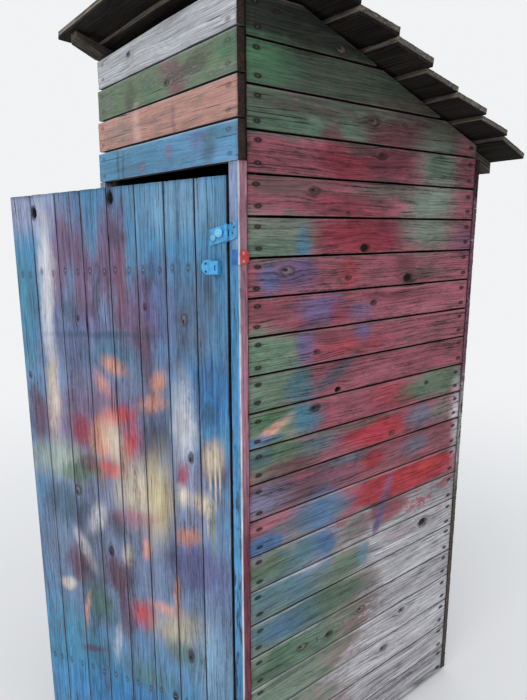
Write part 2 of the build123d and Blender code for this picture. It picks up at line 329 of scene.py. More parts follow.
    def section(self, column, inner_column):
        """Heights and depths of the board's outline, once round from the lower edge of its face."""
        width, thickness, radius = self.width, self.thickness, EDGE_RADIUS
        rise = radius * np.sin(ARC)
        run = radius * np.cos(ARC)
        front = self.columns(column)
        rear = np.linspace(width - radius, radius, max(3, int((width - 2 * radius) / inner_column) + 1))
        side = np.linspace(thickness - radius, radius, SIDE_POINTS)
        full = np.full(SIDE_POINTS, width)
        v = [
            front, width - radius + rise, full, width - radius + run,
            rear, radius - rise, 0 * side, radius - run,
        ]
        w = [
            0 * front + thickness, thickness - radius + run, side, radius - rise,
            0 * rear, radius - run, side[::-1], thickness - radius + rise,
        ]
        return np.concatenate(v), np.concatenate(w)

    def opening(self, xx, start, end):
        """How far a crack stands open along its length: it closes inside the board."""
        closing = np.clip((end - xx) / LONG_TAPER, 0, 1)
        if start < self.x0 + AT_END:
            return closing
        if end > self.x1 - AT_END:
            return np.clip((xx - start) / LONG_TAPER, 0, 1)
        return np.clip((xx - start) / SHORT_TAPER, 0, 1) * closing

    def build(self, spacing=0.012, column=0.0042, inner_column=0.02):
        """Points, faces and attributes of the worn board."""
        v, w = self.section(column, inner_column)
        t = self.rings(spacing)
        seed = self.rng.uniform(0, 200, 4)
        share = v / self.width
        height = self.high((self.x0 + t * self.length)[:, None]) - self.low
        vv = self.low + share * height
        ww = self.inner + np.repeat(w[None, :], len(t), 0)
        first = self.start(vv, ww)
        last = self.end(vv, ww) - self.shortened
        xx = first + t[:, None] * (last - first)

        # Wavy long edges, and a swollen face with cracks and knots
        level = 0 * xx
        low_wear, high_wear = [
            LEAST_WEAR + self.wear * (1 + noise(xx * EDGE_WAVES + seed[i], level + seed[i + 1]))
            for i in (0, 1)
        ]
        below_face = self.thickness - w
        facing = np.clip(1 - below_face / EDGE_RADIUS, 0, 1)
        wander = noise(xx * WANDER_WAVES + seed[3], level + seed[0])
        vv = vv + WANDER * wander * share * (1 - share) * facing
        ridge = RIDGE * (1 + noise(xx * RIDGE_WAVES[0] + seed[0], vv * RIDGE_WAVES[1] + seed[1]))
        swell = SWELL * (1 + noise(xx * SWELL_WAVES[0] + seed[2], vv * SWELL_WAVES[1] + seed[3]))
        inwards = facing * (ridge + swell)
        on_face = below_face < 1e-6
        for crack_v, start, end, _ in self.cracks:
            on_line = np.isclose(v, crack_v, atol=ON_LINE) & on_face
            depth = min(CRACK_DEPTH, CRACK_SHARE * self.thickness)
            inwards = inwards + on_line * self.opening(xx, start, end) * depth
        for knot_x, knot_v, knot_radius, _, hole in self.knots:
            away = np.hypot((xx - knot_x) / KNOT_STRETCH, vv - knot_v) / knot_radius
            sunk = np.exp(-((away - 1) / RING_SHARE) ** 2) * KNOT_RING
            if hole:
                depth = min(HOLE_DEPTH, HOLE_SHARE * self.thickness)
                sunk = np.clip((HOLE_EDGE - away) / HOLE_WALL, 0, 1) * depth
            inwards = inwards + facing * sunk
        vv = vv + low_wear * np.clip(1 - share / WORN_SHARE, 0, 1)
        vv = vv - high_wear * np.clip(1 - (1 - share) / WORN_SHARE, 0, 1)
        ww = ww - inwards

        # Rounded and ragged ends
        from_end = np.minimum(t, 1 - t)[:, None] * self.length
        into_end = np.clip(END_RADIUS - from_end, 0, None)
        curve = END_RADIUS - np.sqrt(np.clip(END_RADIUS**2 - into_end**2, 0, None))
        middle = self.low + height / 2
        vv = middle + (vv - middle) * (1 - 2 * curve / np.maximum(height, 0.01))
        depth_middle = (self.inner + self.outer) / 2
        ww = depth_middle + (ww - depth_middle) * (1 - 2 * curve / self.thickness)
        rag = RAG * (1 + noise(vv * RAG_WAVES[0] + seed[3], ww * RAG_WAVES[1] + seed[0]))
        xx = xx + np.clip(1 - t * self.length / RAG_REACH, 0, 1)[:, None] * rag
        xx = xx - np.clip(1 - (1 - t) * self.length / RAG_REACH, 0, 1)[:, None] * rag

        # Attributes that the wood materials read
        grain = np.stack([xx, vv, ww], -1) + self.rng.uniform(0, 9, 3)
        long_edge = np.minimum(vv - self.low, self.low + height - vv)
        edge = np.stack([long_edge, from_end + 0 * vv, self.outer - ww], -1)
        knot, which = nearest_mark(xx, vv, [mark[:3] for mark in self.knots], KNOT_REACH)
        tones = np.array([mark[3] for mark in self.knots] or [0.0])
        nail, _ = nearest_mark(xx, vv, [(*spot, NAIL_REACH) for spot in self.nails], 1.0)
        crack = 0 * vv
        for crack_v, start, end, _ in self.cracks:
            on_line = np.isclose(v, crack_v, atol=ON_LINE) & on_face
            crack = np.maximum(crack, on_line * ((xx > start - DARK_FROM) & (xx < end - DARK_SHORT)))
        points = self.world(xx, vv, ww).reshape(-1, 3)
        part = {"points": points, "tone": np.tile(self.rng.random(3), (len(points), 1))}
        for key, values in (("grain", grain), ("edge", edge), ("knot", knot), ("nail", nail)):
            part[key] = values.reshape(-1, 3)
        below_top = self.low + self.width - vv
        for key, values in (("knot_tone", tones[which]), ("crack", crack), ("below_top", below_top)):
            part[key] = values.reshape(-1)

        # Quads round the board, and one face at each end
        around = len(v)
        part["faces"] = band_faces(0, len(t), around)
        part["faces"] += [list(range(around))[::-1], [(len(t) - 1) * around + i for i in range(around)]]
        return part


def band_faces(base, rings, sides):
    """Quads between closed rings of points that are laid one after another."""
    faces = []
    for low in range(base, base + (rings - 1) * sides, sides):
        for side in range(sides):
            after = (side + 1) % sides
            faces.append([low + side, low + after, low + sides + after, low + sides + side])
    return faces


def add_knots(planks, horizontal, knots, zero=0.0):
    """Put each knot, given by its place on the wall, radius and tone, on the board that holds it."""
    for across, height, *looks in knots:
        point = (across + zero) * horizontal + height * Z
        for plank in planks:
            held = plank.holds(point)
            if held:
                plank.knot(*held, *looks)


def add_cracks(planks, cracks, zero=0.0):
    """Put each crack, given by its place across the grain and its two ends along it, on its board."""
    for across, start, end, width in cracks:
        for plank in planks:
            v = across + zero - plank.low
            if 3 * EDGE_RADIUS < v < plank.width - 3 * EDGE_RADIUS:
                plank.crack(v, start - plank.x0, end - plank.x0, width)


def mesh_object(name, points, faces):
    """A new mesh, smooth but for faces of more than four corners."""
    mesh = bpy.data.meshes.new(name)
    mesh.from_pydata([tuple(p) for p in points], [], faces)
    mesh.polygons.foreach_set("use_smooth", [len(f) <= 4 for f in faces])
    mesh.update()
    made = bpy.data.objects.new(name, mesh)
    bpy.context.scene.collection.objects.link(made)
    return made


VECTORS = ("grain", "edge", "knot", "nail", "tone", "place")
NUMBERS = ("knot_tone", "crack", "below_top")


def joined(name, planks, materials, body, slot, nodes, horizontal, zero=0.0, **detail):
    """One mesh of several planks, riding on a body in place of CAD nodes.

    The materials go to the planks in turn: plank i has material i, or the last one there is.
    """
    kinds = list(dict.fromkeys(materials))
    parts = [plank.build(**detail) for plank in planks]
    faces = []
    choice = []
    base = 0
    for i, part in enumerate(parts):
        across = part["points"] @ horizontal - zero
        height = part["points"][:, 2]
        part["place"] = np.stack([across, height, 0 * height], -1)
        faces += [[base + corner for corner in face] for face in part["faces"]]
        choice += [kinds.index(materials[min(i, len(materials) - 1)])] * len(part["faces"])
        base += len(height)
    made = mesh_object(name, np.concatenate([part["points"] for part in parts]), faces)
    for kind, field, keys in (("FLOAT_VECTOR", "vector", VECTORS), ("FLOAT", "value", NUMBERS)):
        for key in keys:
            values = np.concatenate([part[key] for part in parts])
            made.data.attributes.new(key, kind, "POINT").data.foreach_set(field, values.ravel())
    for kind in kinds:
        made.data.materials.append(kind)
    made.data.polygons.foreach_set("material_index", choice)
    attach(made, body)
    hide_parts(*nodes)


# Nails: low worn domes, a little sunk
NAIL_RADIUS = 0.0032
NAIL_SIDES = 10
NAIL_SIZES = (0.85, 1.15)
NAIL_RINGS = ((1.0, -0.0022), (1.0, -0.0008), (0.8, -0.0002), (0.4, 0.0))


def nail_heads(name, planks, material, body):
    points = []
    faces = []
    for plank in planks:
        for x, v in plank.nails:
            size = NAIL_RADIUS * plank.rng.uniform(*NAIL_SIZES)
            base = len(points)
            for ring_size, rise in NAIL_RINGS:
                for side in range(NAIL_SIDES):
                    turn = 2 * math.pi * side / NAIL_SIDES
                    at = (x + size * ring_size * math.cos(turn), v + size * ring_size * math.sin(turn))
                    points.append(plank.world(*at, plank.outer + rise))
            middle = len(points)
            points.append(plank.world(x, v, plank.outer))
            faces += band_faces(base, len(NAIL_RINGS), NAIL_SIDES)
            top = middle - NAIL_SIDES
            faces += [[top + side, top + (side + 1) % NAIL_SIDES, middle] for side in range(NAIL_SIDES)]
    made = mesh_object(name, points, faces)
    made.data.materials.append(material)
    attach(made, body)


# Shader graphs
def srgb(red, green, blue):
    """A linear colour from screen values of 0 to 255."""
    linear = [((c / 255 + 0.055) / 1.055) ** 2.4 if c > 10 else c / 255 / 12.92 for c in (red, green, blue)]
    return (*linear, 1.0)


class Graph:
    """Builds a material's nodes from expressions."""

    def __init__(self, name):
        self.material = bpy.data.materials.new(name)
        self.take(self.material)

    def take(self, owner):
        owner.use_nodes = True
        self.nodes = owner.node_tree.nodes
        self.links = owner.node_tree.links
        self.nodes.clear()

    def feed(self, socket, value):
        if isinstance(value, bpy.types.NodeSocket):
            self.links.new(value, socket)
        elif value is not None:
            socket.default_value = value

    def add(self, kind, inputs, out=0, **settings):
        made = self.nodes.new(kind)
        for key, value in settings.items():
            setattr(made, key, value)
        for key, value in inputs.items():
            self.feed(made.inputs[key], value)
        return made.outputs[out] if len(made.outputs) else made

    def math(self, operation, a, b=None, c=None):
        return self.add("ShaderNodeMath", {0: a, 1: b, 2: c}, operation=operation)

    def times(self, a, b):
        return self.math("MULTIPLY", a, b)

    def plus(self, total, *terms):
        """A total with more terms, each a value and its weight."""
        for value, weight in terms:
            total = self.math("MULTIPLY_ADD", value, weight, total)
        return total

    def squares(self, a, b):
        return self.plus(self.times(b, b), (a, a))

    def centred(self, value):
        """A value of 0 to 1, moved to lie round nothing."""
        return self.math("SUBTRACT", value, 0.5)

    def vector(self, operation, a, b=None, out=0):
        return self.add("ShaderNodeVectorMath", {0: a, 1: b}, out, operation=operation)

    def ramp(self, value, low, high, to_low=0.0, to_high=1.0):
        inputs = {"Value": value, "From Min": low, "From Max": high, "To Min": to_low, "To Max": to_high}
        return self.add("ShaderNodeMapRange", inputs, interpolation_type="SMOOTHSTEP")

    def mix(self, share, a, b, blend="MIX"):
        return self.add("ShaderNodeMix", {0: share, 6: a, 7: b}, 2, data_type="RGBA", blend_type=blend)

    def shaded(self, colour, shade):
        return self.mix(1.0, colour, self.combine(shade, shade, shade), "MULTIPLY")

    def blend(self, share, a, b):
        return self.add("ShaderNodeMix", {0: share, 2: a, 3: b}, data_type="FLOAT")

    def noise(self, vector, scale, detail=2.0, roughness=0.5, out=0):
        inputs = {"Vector": vector, "Scale": scale, "Detail": detail, "Roughness": roughness}
        return self.add("ShaderNodeTexNoise", inputs, out)

    def fibres(self, vector, scales, detail=2.0, roughness=0.5):
        """Noise with a scale of its own along each axis."""
        return self.noise(self.vector("MULTIPLY", vector, scales), 1.0, detail, roughness)

    def attribute(self, name, out=1):
        return self.add("ShaderNodeAttribute", {}, out, attribute_name=name)

    def place(self):
        """Metres from the piece's own origin."""
        return self.add("ShaderNodeTexCoord", {}, 3)

    def split(self, vector):
        made = self.nodes.new("ShaderNodeSeparateXYZ")
        self.links.new(vector, made.inputs[0])
        return tuple(made.outputs)

    def combine(self, x, y, z):
        return self.add("ShaderNodeCombineXYZ", {0: x, 1: y, 2: z})

    def finish(self, colour, roughness, height, strength, distance, specular):
        bumped = {"Strength": strength, "Distance": distance, "Height": height}
        inputs = {"Base Color": colour, "Roughness": roughness, "Specular IOR Level": specular}
        inputs["Normal"] = self.add("ShaderNodeBump", bumped)
        self.add("ShaderNodeOutputMaterial", {"Surface": self.add("ShaderNodeBsdfPrincipled", inputs)})
        return self.material


# Paint colours, judged
SKY = srgb(80, 138, 178)
DEEP_SKY = srgb(48, 122, 184)
PALE_SKY = srgb(134, 172, 200)
TEAL = srgb(64, 128, 154)
DARK_TEAL = srgb(54, 88, 104)
LILAC = srgb(156, 158, 186)
VIOLET = srgb(92, 92, 138)
MAUVE = srgb(132, 88, 118)
RED = srgb(166, 50, 62)
CRIMSON = srgb(132, 42, 56)
SCARLET = srgb(214, 66, 60)
MAROON = srgb(92, 44, 56)
ROSE = srgb(144, 80, 92)
DULL_ROSE = srgb(128, 74, 84)
PINK = srgb(176, 104, 122)
PEACH = srgb(232, 158, 128)
CREAM = srgb(224, 208, 184)
OCHRE = srgb(204, 186, 144)
SLATE = srgb(96, 104, 122)
CHALK = srgb(214, 214, 220)
SMOKE = srgb(52, 54, 64)
LEAF = srgb(88, 116, 94)
FERN = srgb(108, 132, 112)
# Green paint darkened as painted shade under the eaves
EAVES_SHADED_GREEN = srgb(60, 72, 60)
GREY_MOSS = srgb(80, 82, 74)
SAGE = srgb(78, 94, 80)
PALE_GREEN = srgb(112, 128, 116)
LIME = srgb(146, 156, 106)
PALE_SALMON = srgb(222, 182, 170)
SILVERED = srgb(158, 156, 164)
UMBER = srgb(70, 54, 50)
BLACK = (0.012, 0.010, 0.010, 1.0)
RUST = srgb(70, 44, 36)
PALE_KNOT = srgb(150, 140, 132)
KNOT_RIM = srgb(44, 34, 32)
NAIL_STAIN = srgb(30, 22, 24)
BLUE = srgb(66, 114, 166)
SEA = srgb(76, 118, 132)
PALE_SAGE = srgb(158, 170, 156)
GREEN = srgb(70, 112, 82)
MIST = srgb(126, 132, 160)
# The same, darker still at the very top of the wall
DEEPER_EAVES_SHADED_GREEN = srgb(36, 44, 36)
BARE = None                 # takes the place of a colour where a cloud lays the wood bare

# Sprayed clouds
DRIP = 0.005                # a cloud narrower than this runs straight down as a drip
HALF = (0.5, 0.5, 0.5)


def sprays(g, colour, cover, clouds, broken, ragged, stepped):
    """Lay soft sprayed clouds over a colour and its cover, in the plane of the wall.

    A cloud is colour, centre, half sizes, turn in degrees, softness and strength.
    A bare cloud takes the paint away. Each board is a little out of step with the next.
    """
    straight = g.attribute("place")
    drift = g.vector("SUBTRACT", g.noise(straight, 9.0, 4.0, 0.65, out=1), HALF)
    drift = g.vector("MULTIPLY", drift, (2 * ragged, 2 * ragged, 0.0))
    step = g.vector("SUBTRACT", g.attribute("tone"), HALF)
    step = g.vector("MULTIPLY", step, (stepped, 0.3 * stepped, 0.0))
    moved = g.vector("ADD", g.vector("ADD", straight, drift), step)
    for paint, centre, size, turn, soft, strength in clouds:
        mapping = {
            "Vector": straight if min(size) < DRIP else moved,
            "Location": (*centre, 0.0),
            "Rotation": (0.0, 0.0, math.radians(turn)),
            "Scale": (*size, 1.0),
        }
        spot = g.add("ShaderNodeMapping", mapping, vector_type="TEXTURE")
        away = g.math("ADD", g.vector("LENGTH", spot, out=1), broken)
        mask = g.ramp(away, 1 + soft, max(0.0, 1 - soft), 0.0, strength)
        if paint is BARE:
            cover = g.times(cover, g.math("SUBTRACT", 1.0, mask))
        else:
            colour = g.mix(mask, colour, paint)
            cover = g.math("MAXIMUM", cover, mask)
    return colour, cover


WOOD_SHINE = 0.12
BARE_ROUGHNESS = 0.92
PAINTED_ROUGHNESS = 0.72
UPPER_FADE = (0.70, 1.15)   # between these heights the bare wood turns from silver to brown, darkened by weathering and painted shade under the eaves
RUBBED = (0.04, 0.70)       # paint is gone below the first of these and whole above the second

# Bands at a board's edges, in metres from its end, its long edge, its top or its face
SAWN_END = (0.0009, 0.0003)
ARRIS_WIDTH = (0.0030, 0.0010)
ARRIS_DEPTH = (0.0030, 0.0018)
LIT_WIDTH = (0.0075, 0.0035)
JOINT_DEPTH = (0.0022, 0.0070)
EDGE_DARK_WIDTH = (0.0010, 0.0050)
END_DARK_LENGTH = (0.0, 0.014)


def wood(name, bare, paint=None, cover=0.0, clouds=(), contrast=1.0, end_colour=UMBER,
         upper=None, extra=None, ends=None, thickness=0.026, joint_shade=0.35, inner_shade=0.3,
         stepped=0.05, ragged=0.03, rusty=0.9, lit_edge=0.0):
    """Weathered wood in two bare colours, light and dark, under a worn coat of paint."""
    g = Graph(name)
    grain = g.attribute("grain")
    edge_side, edge_end, depth = g.split(g.attribute("edge"))
    knot_x, knot_v, knot_r = g.split(g.attribute("knot"))
    tone_a, tone_b, _ = g.split(g.attribute("tone"))

    # The grain flows round each knot
    flat_x = g.times(knot_x, 0.55)
    away2 = g.squares(flat_x, knot_v)
    reach = g.times(knot_r, 1.5)
    pull = g.math("DIVIDE", g.times(reach, reach), g.math("MAXIMUM", away2, 1e-6))
    pull = g.math("MINIMUM", pull, 1.0)
    shift = g.times(knot_v, g.times(pull, -0.85))
    shift = g.plus(shift, (g.centred(g.fibres(grain, (3.0, 9.0, 9.0), 1.0)), 0.03))
    flow = g.vector("ADD", grain, g.combine(0.0, shift, 0.0))

    fine = g.fibres(flow, (14.0, 620.0, 500.0), 2.0, 0.6)
    streak = g.fibres(flow, (3.6, 230.0, 190.0), 5.0, 0.66)
    broad = g.fibres(flow, (2.0, 36.0, 36.0), 3.0, 0.6)
    patch = g.fibres(grain, (9.0, 22.0, 22.0), 5.0, 0.7)
    fleck = g.fibres(grain, (60.0, 280.0, 280.0), 3.0, 0.75)
    fine_c, streak_c, broad_c, patch_c, fleck_c = map(g.centred, (fine, streak, broad, patch, fleck))

    # Latewood lines of the flat-sawn figure, fine checks and the open splits
    figure = g.fibres(flow, (1.6, 18.0, 18.0), 1.0)
    band = g.ramp(g.math("SINE", g.times(figure, 120.0)), 0.1, 1.0)
    check = g.ramp(g.fibres(flow, (7.0, 300.0, 260.0), 1.0), 0.63, 0.74)
    check = g.times(check, g.ramp(broad, 0.40, 0.60))
    lines = g.math("MAXIMUM", check, g.ramp(g.attribute("crack", 2), 0.35, 0.8))

    # Bare wood, darker higher up from weathering and painted shade under the eaves, and the grain's lighter
    # and darker figure over it and its paint
    light, dark = bare
    if upper is not None:
        _, place_z, _ = g.split(g.attribute("place"))
        aged_and_shaded = g.ramp(place_z, *UPPER_FADE)
        light, dark = [g.mix(aged_and_shaded, low, high) for low, high in zip(bare, upper)]
    colour = g.mix(g.ramp(streak, 0.34, 0.62), dark, light)
    colour = g.mix(g.ramp(patch, 0.46, 0.72, 0.0, 0.6), colour, dark)
    figured = ((fine_c, 1.1), (streak_c, 1.7), (fleck_c, 0.7), (broad_c, 1.2), (patch_c, 1.5), (band, -0.16))
    shade = g.plus(1.0, *[(value, weight * contrast) for value, weight in figured])
    shade = g.plus(shade, (g.centred(tone_a), 0.28))
    shade = g.math("MAXIMUM", shade, 0.15)

    roughness = BARE_ROUGHNESS
    if paint is not None:
        broken = g.plus(g.times(patch_c, 1.3), (streak_c, 0.6), (fleck_c, 0.5))
        coat, covered = sprays(g, paint, cover, clouds, broken, ragged, stepped)
        rub = g.plus(covered, (streak_c, 1.9), (fleck_c, 1.3), (patch_c, 1.2), (g.centred(tone_b), 0.2))
        rub = g.math("SUBTRACT", rub, g.times(lines, 0.4))
        kept = g.ramp(rub, *RUBBED)
        kept = g.times(kept, g.ramp(depth, 0.5 * thickness, 0.25 * thickness))
        kept = g.times(kept, g.ramp(covered, 0.04, 0.36, 0.0, 0.93))
        colour = g.mix(kept, colour, coat)
        roughness = g.ramp(kept, 0.0, 1.0, BARE_ROUGHNESS, PAINTED_ROUGHNESS)

    # Arrises are paler, partly worn and partly a painted highlight; joints and the inside get painted shade,
    # and sawn ends show rings
    ring = g.math("SINE", g.times(g.fibres(grain, (0.0, 26.0, 60.0)), 60.0))
    sawn = end_colour if ends is None else ends(g)
    sawn = g.mix(g.ramp(ring, -1.0, 1.0, 0.05, 0.6), sawn, BLACK)
    at_end = g.ramp(edge_end, *SAWN_END)
    # Paler band at each long edge of the face: wear, and a painted highlight where the arris would catch
    # light
    worn_highlit_arris = g.times(g.ramp(edge_side, *ARRIS_WIDTH), g.ramp(depth, *ARRIS_DEPTH))
    colour = g.mix(g.times(worn_highlit_arris, 0.35), colour, light)
    # Painted highlight: a pale band along each board's top edge, as if lit from above
    if lit_edge:
        rim_light = g.ramp(g.attribute("below_top", 2), *LIT_WIDTH, 0.0, lit_edge)
        rim_light = g.times(rim_light, g.ramp(broad, 0.35, 0.6))
        colour = g.mix(rim_light, colour, light)
    colour = g.mix(at_end, colour, sawn)
    if extra is not None:
        colour = extra(g, colour)
    # Painted shade on the board sides in the joints and on the inside faces; a joint shade above one paints
    # those sides lighter, as lit
    joint = g.math("MAXIMUM", g.ramp(depth, *JOINT_DEPTH, 1.0, joint_shade), at_end)
    inner = g.ramp(depth, 0.7 * thickness, 0.9 * thickness)
    shade = g.times(shade, g.blend(inner, joint, inner_shade))
    # Darker towards the long edges of the face and towards the ends
    edge_darkening = g.ramp(edge_side, *EDGE_DARK_WIDTH, 0.9 if lit_edge else 0.82, 1.0)
    shade = g.times(shade, g.times(edge_darkening, g.ramp(edge_end, *END_DARK_LENGTH, 0.74, 1.0)))
    shade = g.times(shade, g.ramp(lines, 0.0, 1.0, 1.0, 0.22))
    colour = g.shaded(colour, shade)
    colour, rim = knotted(g, colour, grain, flat_x, knot_v, knot_r, g.math("SQRT", away2))
    colour = rusted(g, colour, streak_c, rusty)

    height = g.plus(g.times(streak, 0.8), (fine, 0.35), (band, 0.15), (lines, -0.8), (rim, -0.5))
    return g.finish(colour, roughness, height, strength=0.6, distance=0.0018, specular=WOOD_SHINE)


def knotted(g, colour, grain, knot_x, knot_v, knot_r, away):
    """Knots with a ragged dark rim, a ringed middle and an off-centre dark heart, and their rim."""
    tone = g.attribute("knot_tone", 2)
    size = g.math("MAXIMUM", g.times(knot_r, 0.8), 1e-5)
    lump = g.centred(g.noise(grain, 90.0, 3.0, 0.6))
    ragged_away = g.plus(g.math("DIVIDE", away, size), (lump, 1.1))
    rings = g.math("SINE", g.times(ragged_away, 10.0))
    heart = g.mix(g.ramp(tone, 0.05, 0.5), BLACK, RUST)
    heart = g.mix(g.ramp(tone, 0.5, 0.95), heart, PALE_KNOT)
    heart = g.mix(0.3, heart, colour)
    heart = g.mix(g.ramp(rings, -0.6, 1.0, 0.0, 0.4), heart, BLACK)
    off_x = g.plus(knot_x, (knot_r, 0.35))
    off_v = g.plus(knot_v, (knot_r, -0.25))
    off_away = g.math("SQRT", g.squares(off_x, off_v))
    wedge = g.ramp(g.math("DIVIDE", off_away, size), 0.65, 0.3, 0.0, 0.9)
    wedge = g.times(wedge, g.ramp(knot_r, 0.0, 0.004))
    rim = g.times(g.ramp(ragged_away, 2.0, 1.0), 0.7)
    colour = g.mix(rim, colour, KNOT_RIM)
    colour = g.mix(g.times(g.ramp(ragged_away, 1.2, 0.8), 0.85), colour, heart)
    return g.mix(wedge, colour, BLACK), rim


def rusted(g, colour, streak_c, strength):
    """Rust round the nails, smeared along the grain."""
    nail_x, nail_v, nail_near = g.split(g.attribute("nail"))
    away = g.math("SQRT", g.squares(g.times(nail_x, 0.5), nail_v))
    stain = g.ramp(g.plus(away, (streak_c, -0.008)), 0.0085, 0.0035, 0.0, strength)
    stain = g.times(stain, g.ramp(nail_near, 0.0, NAIL_REACH))
    return g.mix(stain, colour, NAIL_STAIN)


STRAP_CORNER = (0.4118, -0.4988)
RUST_ROUGHNESS = 0.85
METAL_SHADE = (0.62, 0.62, 0.62, 1.0)


def metal(name, paint, second=None, rust=RUST, chips=0.62, scale=120.0, roughness=0.45):
    """Brushed-over metal: uneven paint, chipped to rust, with a second colour round the corner."""
    g = Graph(name)
    place = g.place()
    lumps = g.noise(place, scale, 3.0, 0.6)
    coarse = g.noise(place, scale * 0.4, 3.0, 0.6)
    chipped = g.ramp(g.plus(g.times(coarse, 0.5), (lumps, 0.5)), chips, chips + 0.05)
    colour = paint
    if second is not None:
        colour = round_corner(g, colour, second, STRAP_CORNER)
    dark = g.mix(1.0, colour, METAL_SHADE, "MULTIPLY")
    colour = g.mix(g.ramp(coarse, 0.35, 0.7), colour, dark)
    colour = g.mix(chipped, colour, rust)
    rough = g.ramp(chipped, 0.0, 1.0, roughness, RUST_ROUGHNESS)
    relief = g.plus(lumps, (chipped, -1.0))
    return g.finish(colour, rough, relief, strength=0.4, distance=0.0004, specular=0.5)


def round_corner(g, front, side, corner):
    """One colour on the front and another on the side, with a rubbed pale line between them."""
    across, deep, _ = g.split(g.place())
    from_x = g.math("SUBTRACT", corner[0], across)
    from_y = g.math("SUBTRACT", deep, corner[1])
    beyond = g.math("SUBTRACT", from_y, from_x)
    colour = g.mix(g.ramp(beyond, -0.0003, 0.0003), front, side)
    rubbed = g.ramp(g.math("ABSOLUTE", beyond), 0.0042, 0.0022)
    return g.mix(g.times(rubbed, 0.9), colour, CHALK)


# Bare wood, light and dark
SILVER = (srgb(190, 189, 192), srgb(148, 145, 149))
# Upper bare wood: weathered brown, darkened further as painted shade under the eaves
AGED_AND_EAVES_SHADED = (srgb(126, 106, 108), srgb(66, 54, 56))
WASHED = (srgb(170, 172, 180), srgb(86, 90, 104))
ASH = (srgb(194, 197, 200), srgb(162, 162, 165))
BROWN = (srgb(104, 92, 78), srgb(54, 46, 40))
ROOF = (srgb(126, 116, 106), srgb(68, 61, 56))

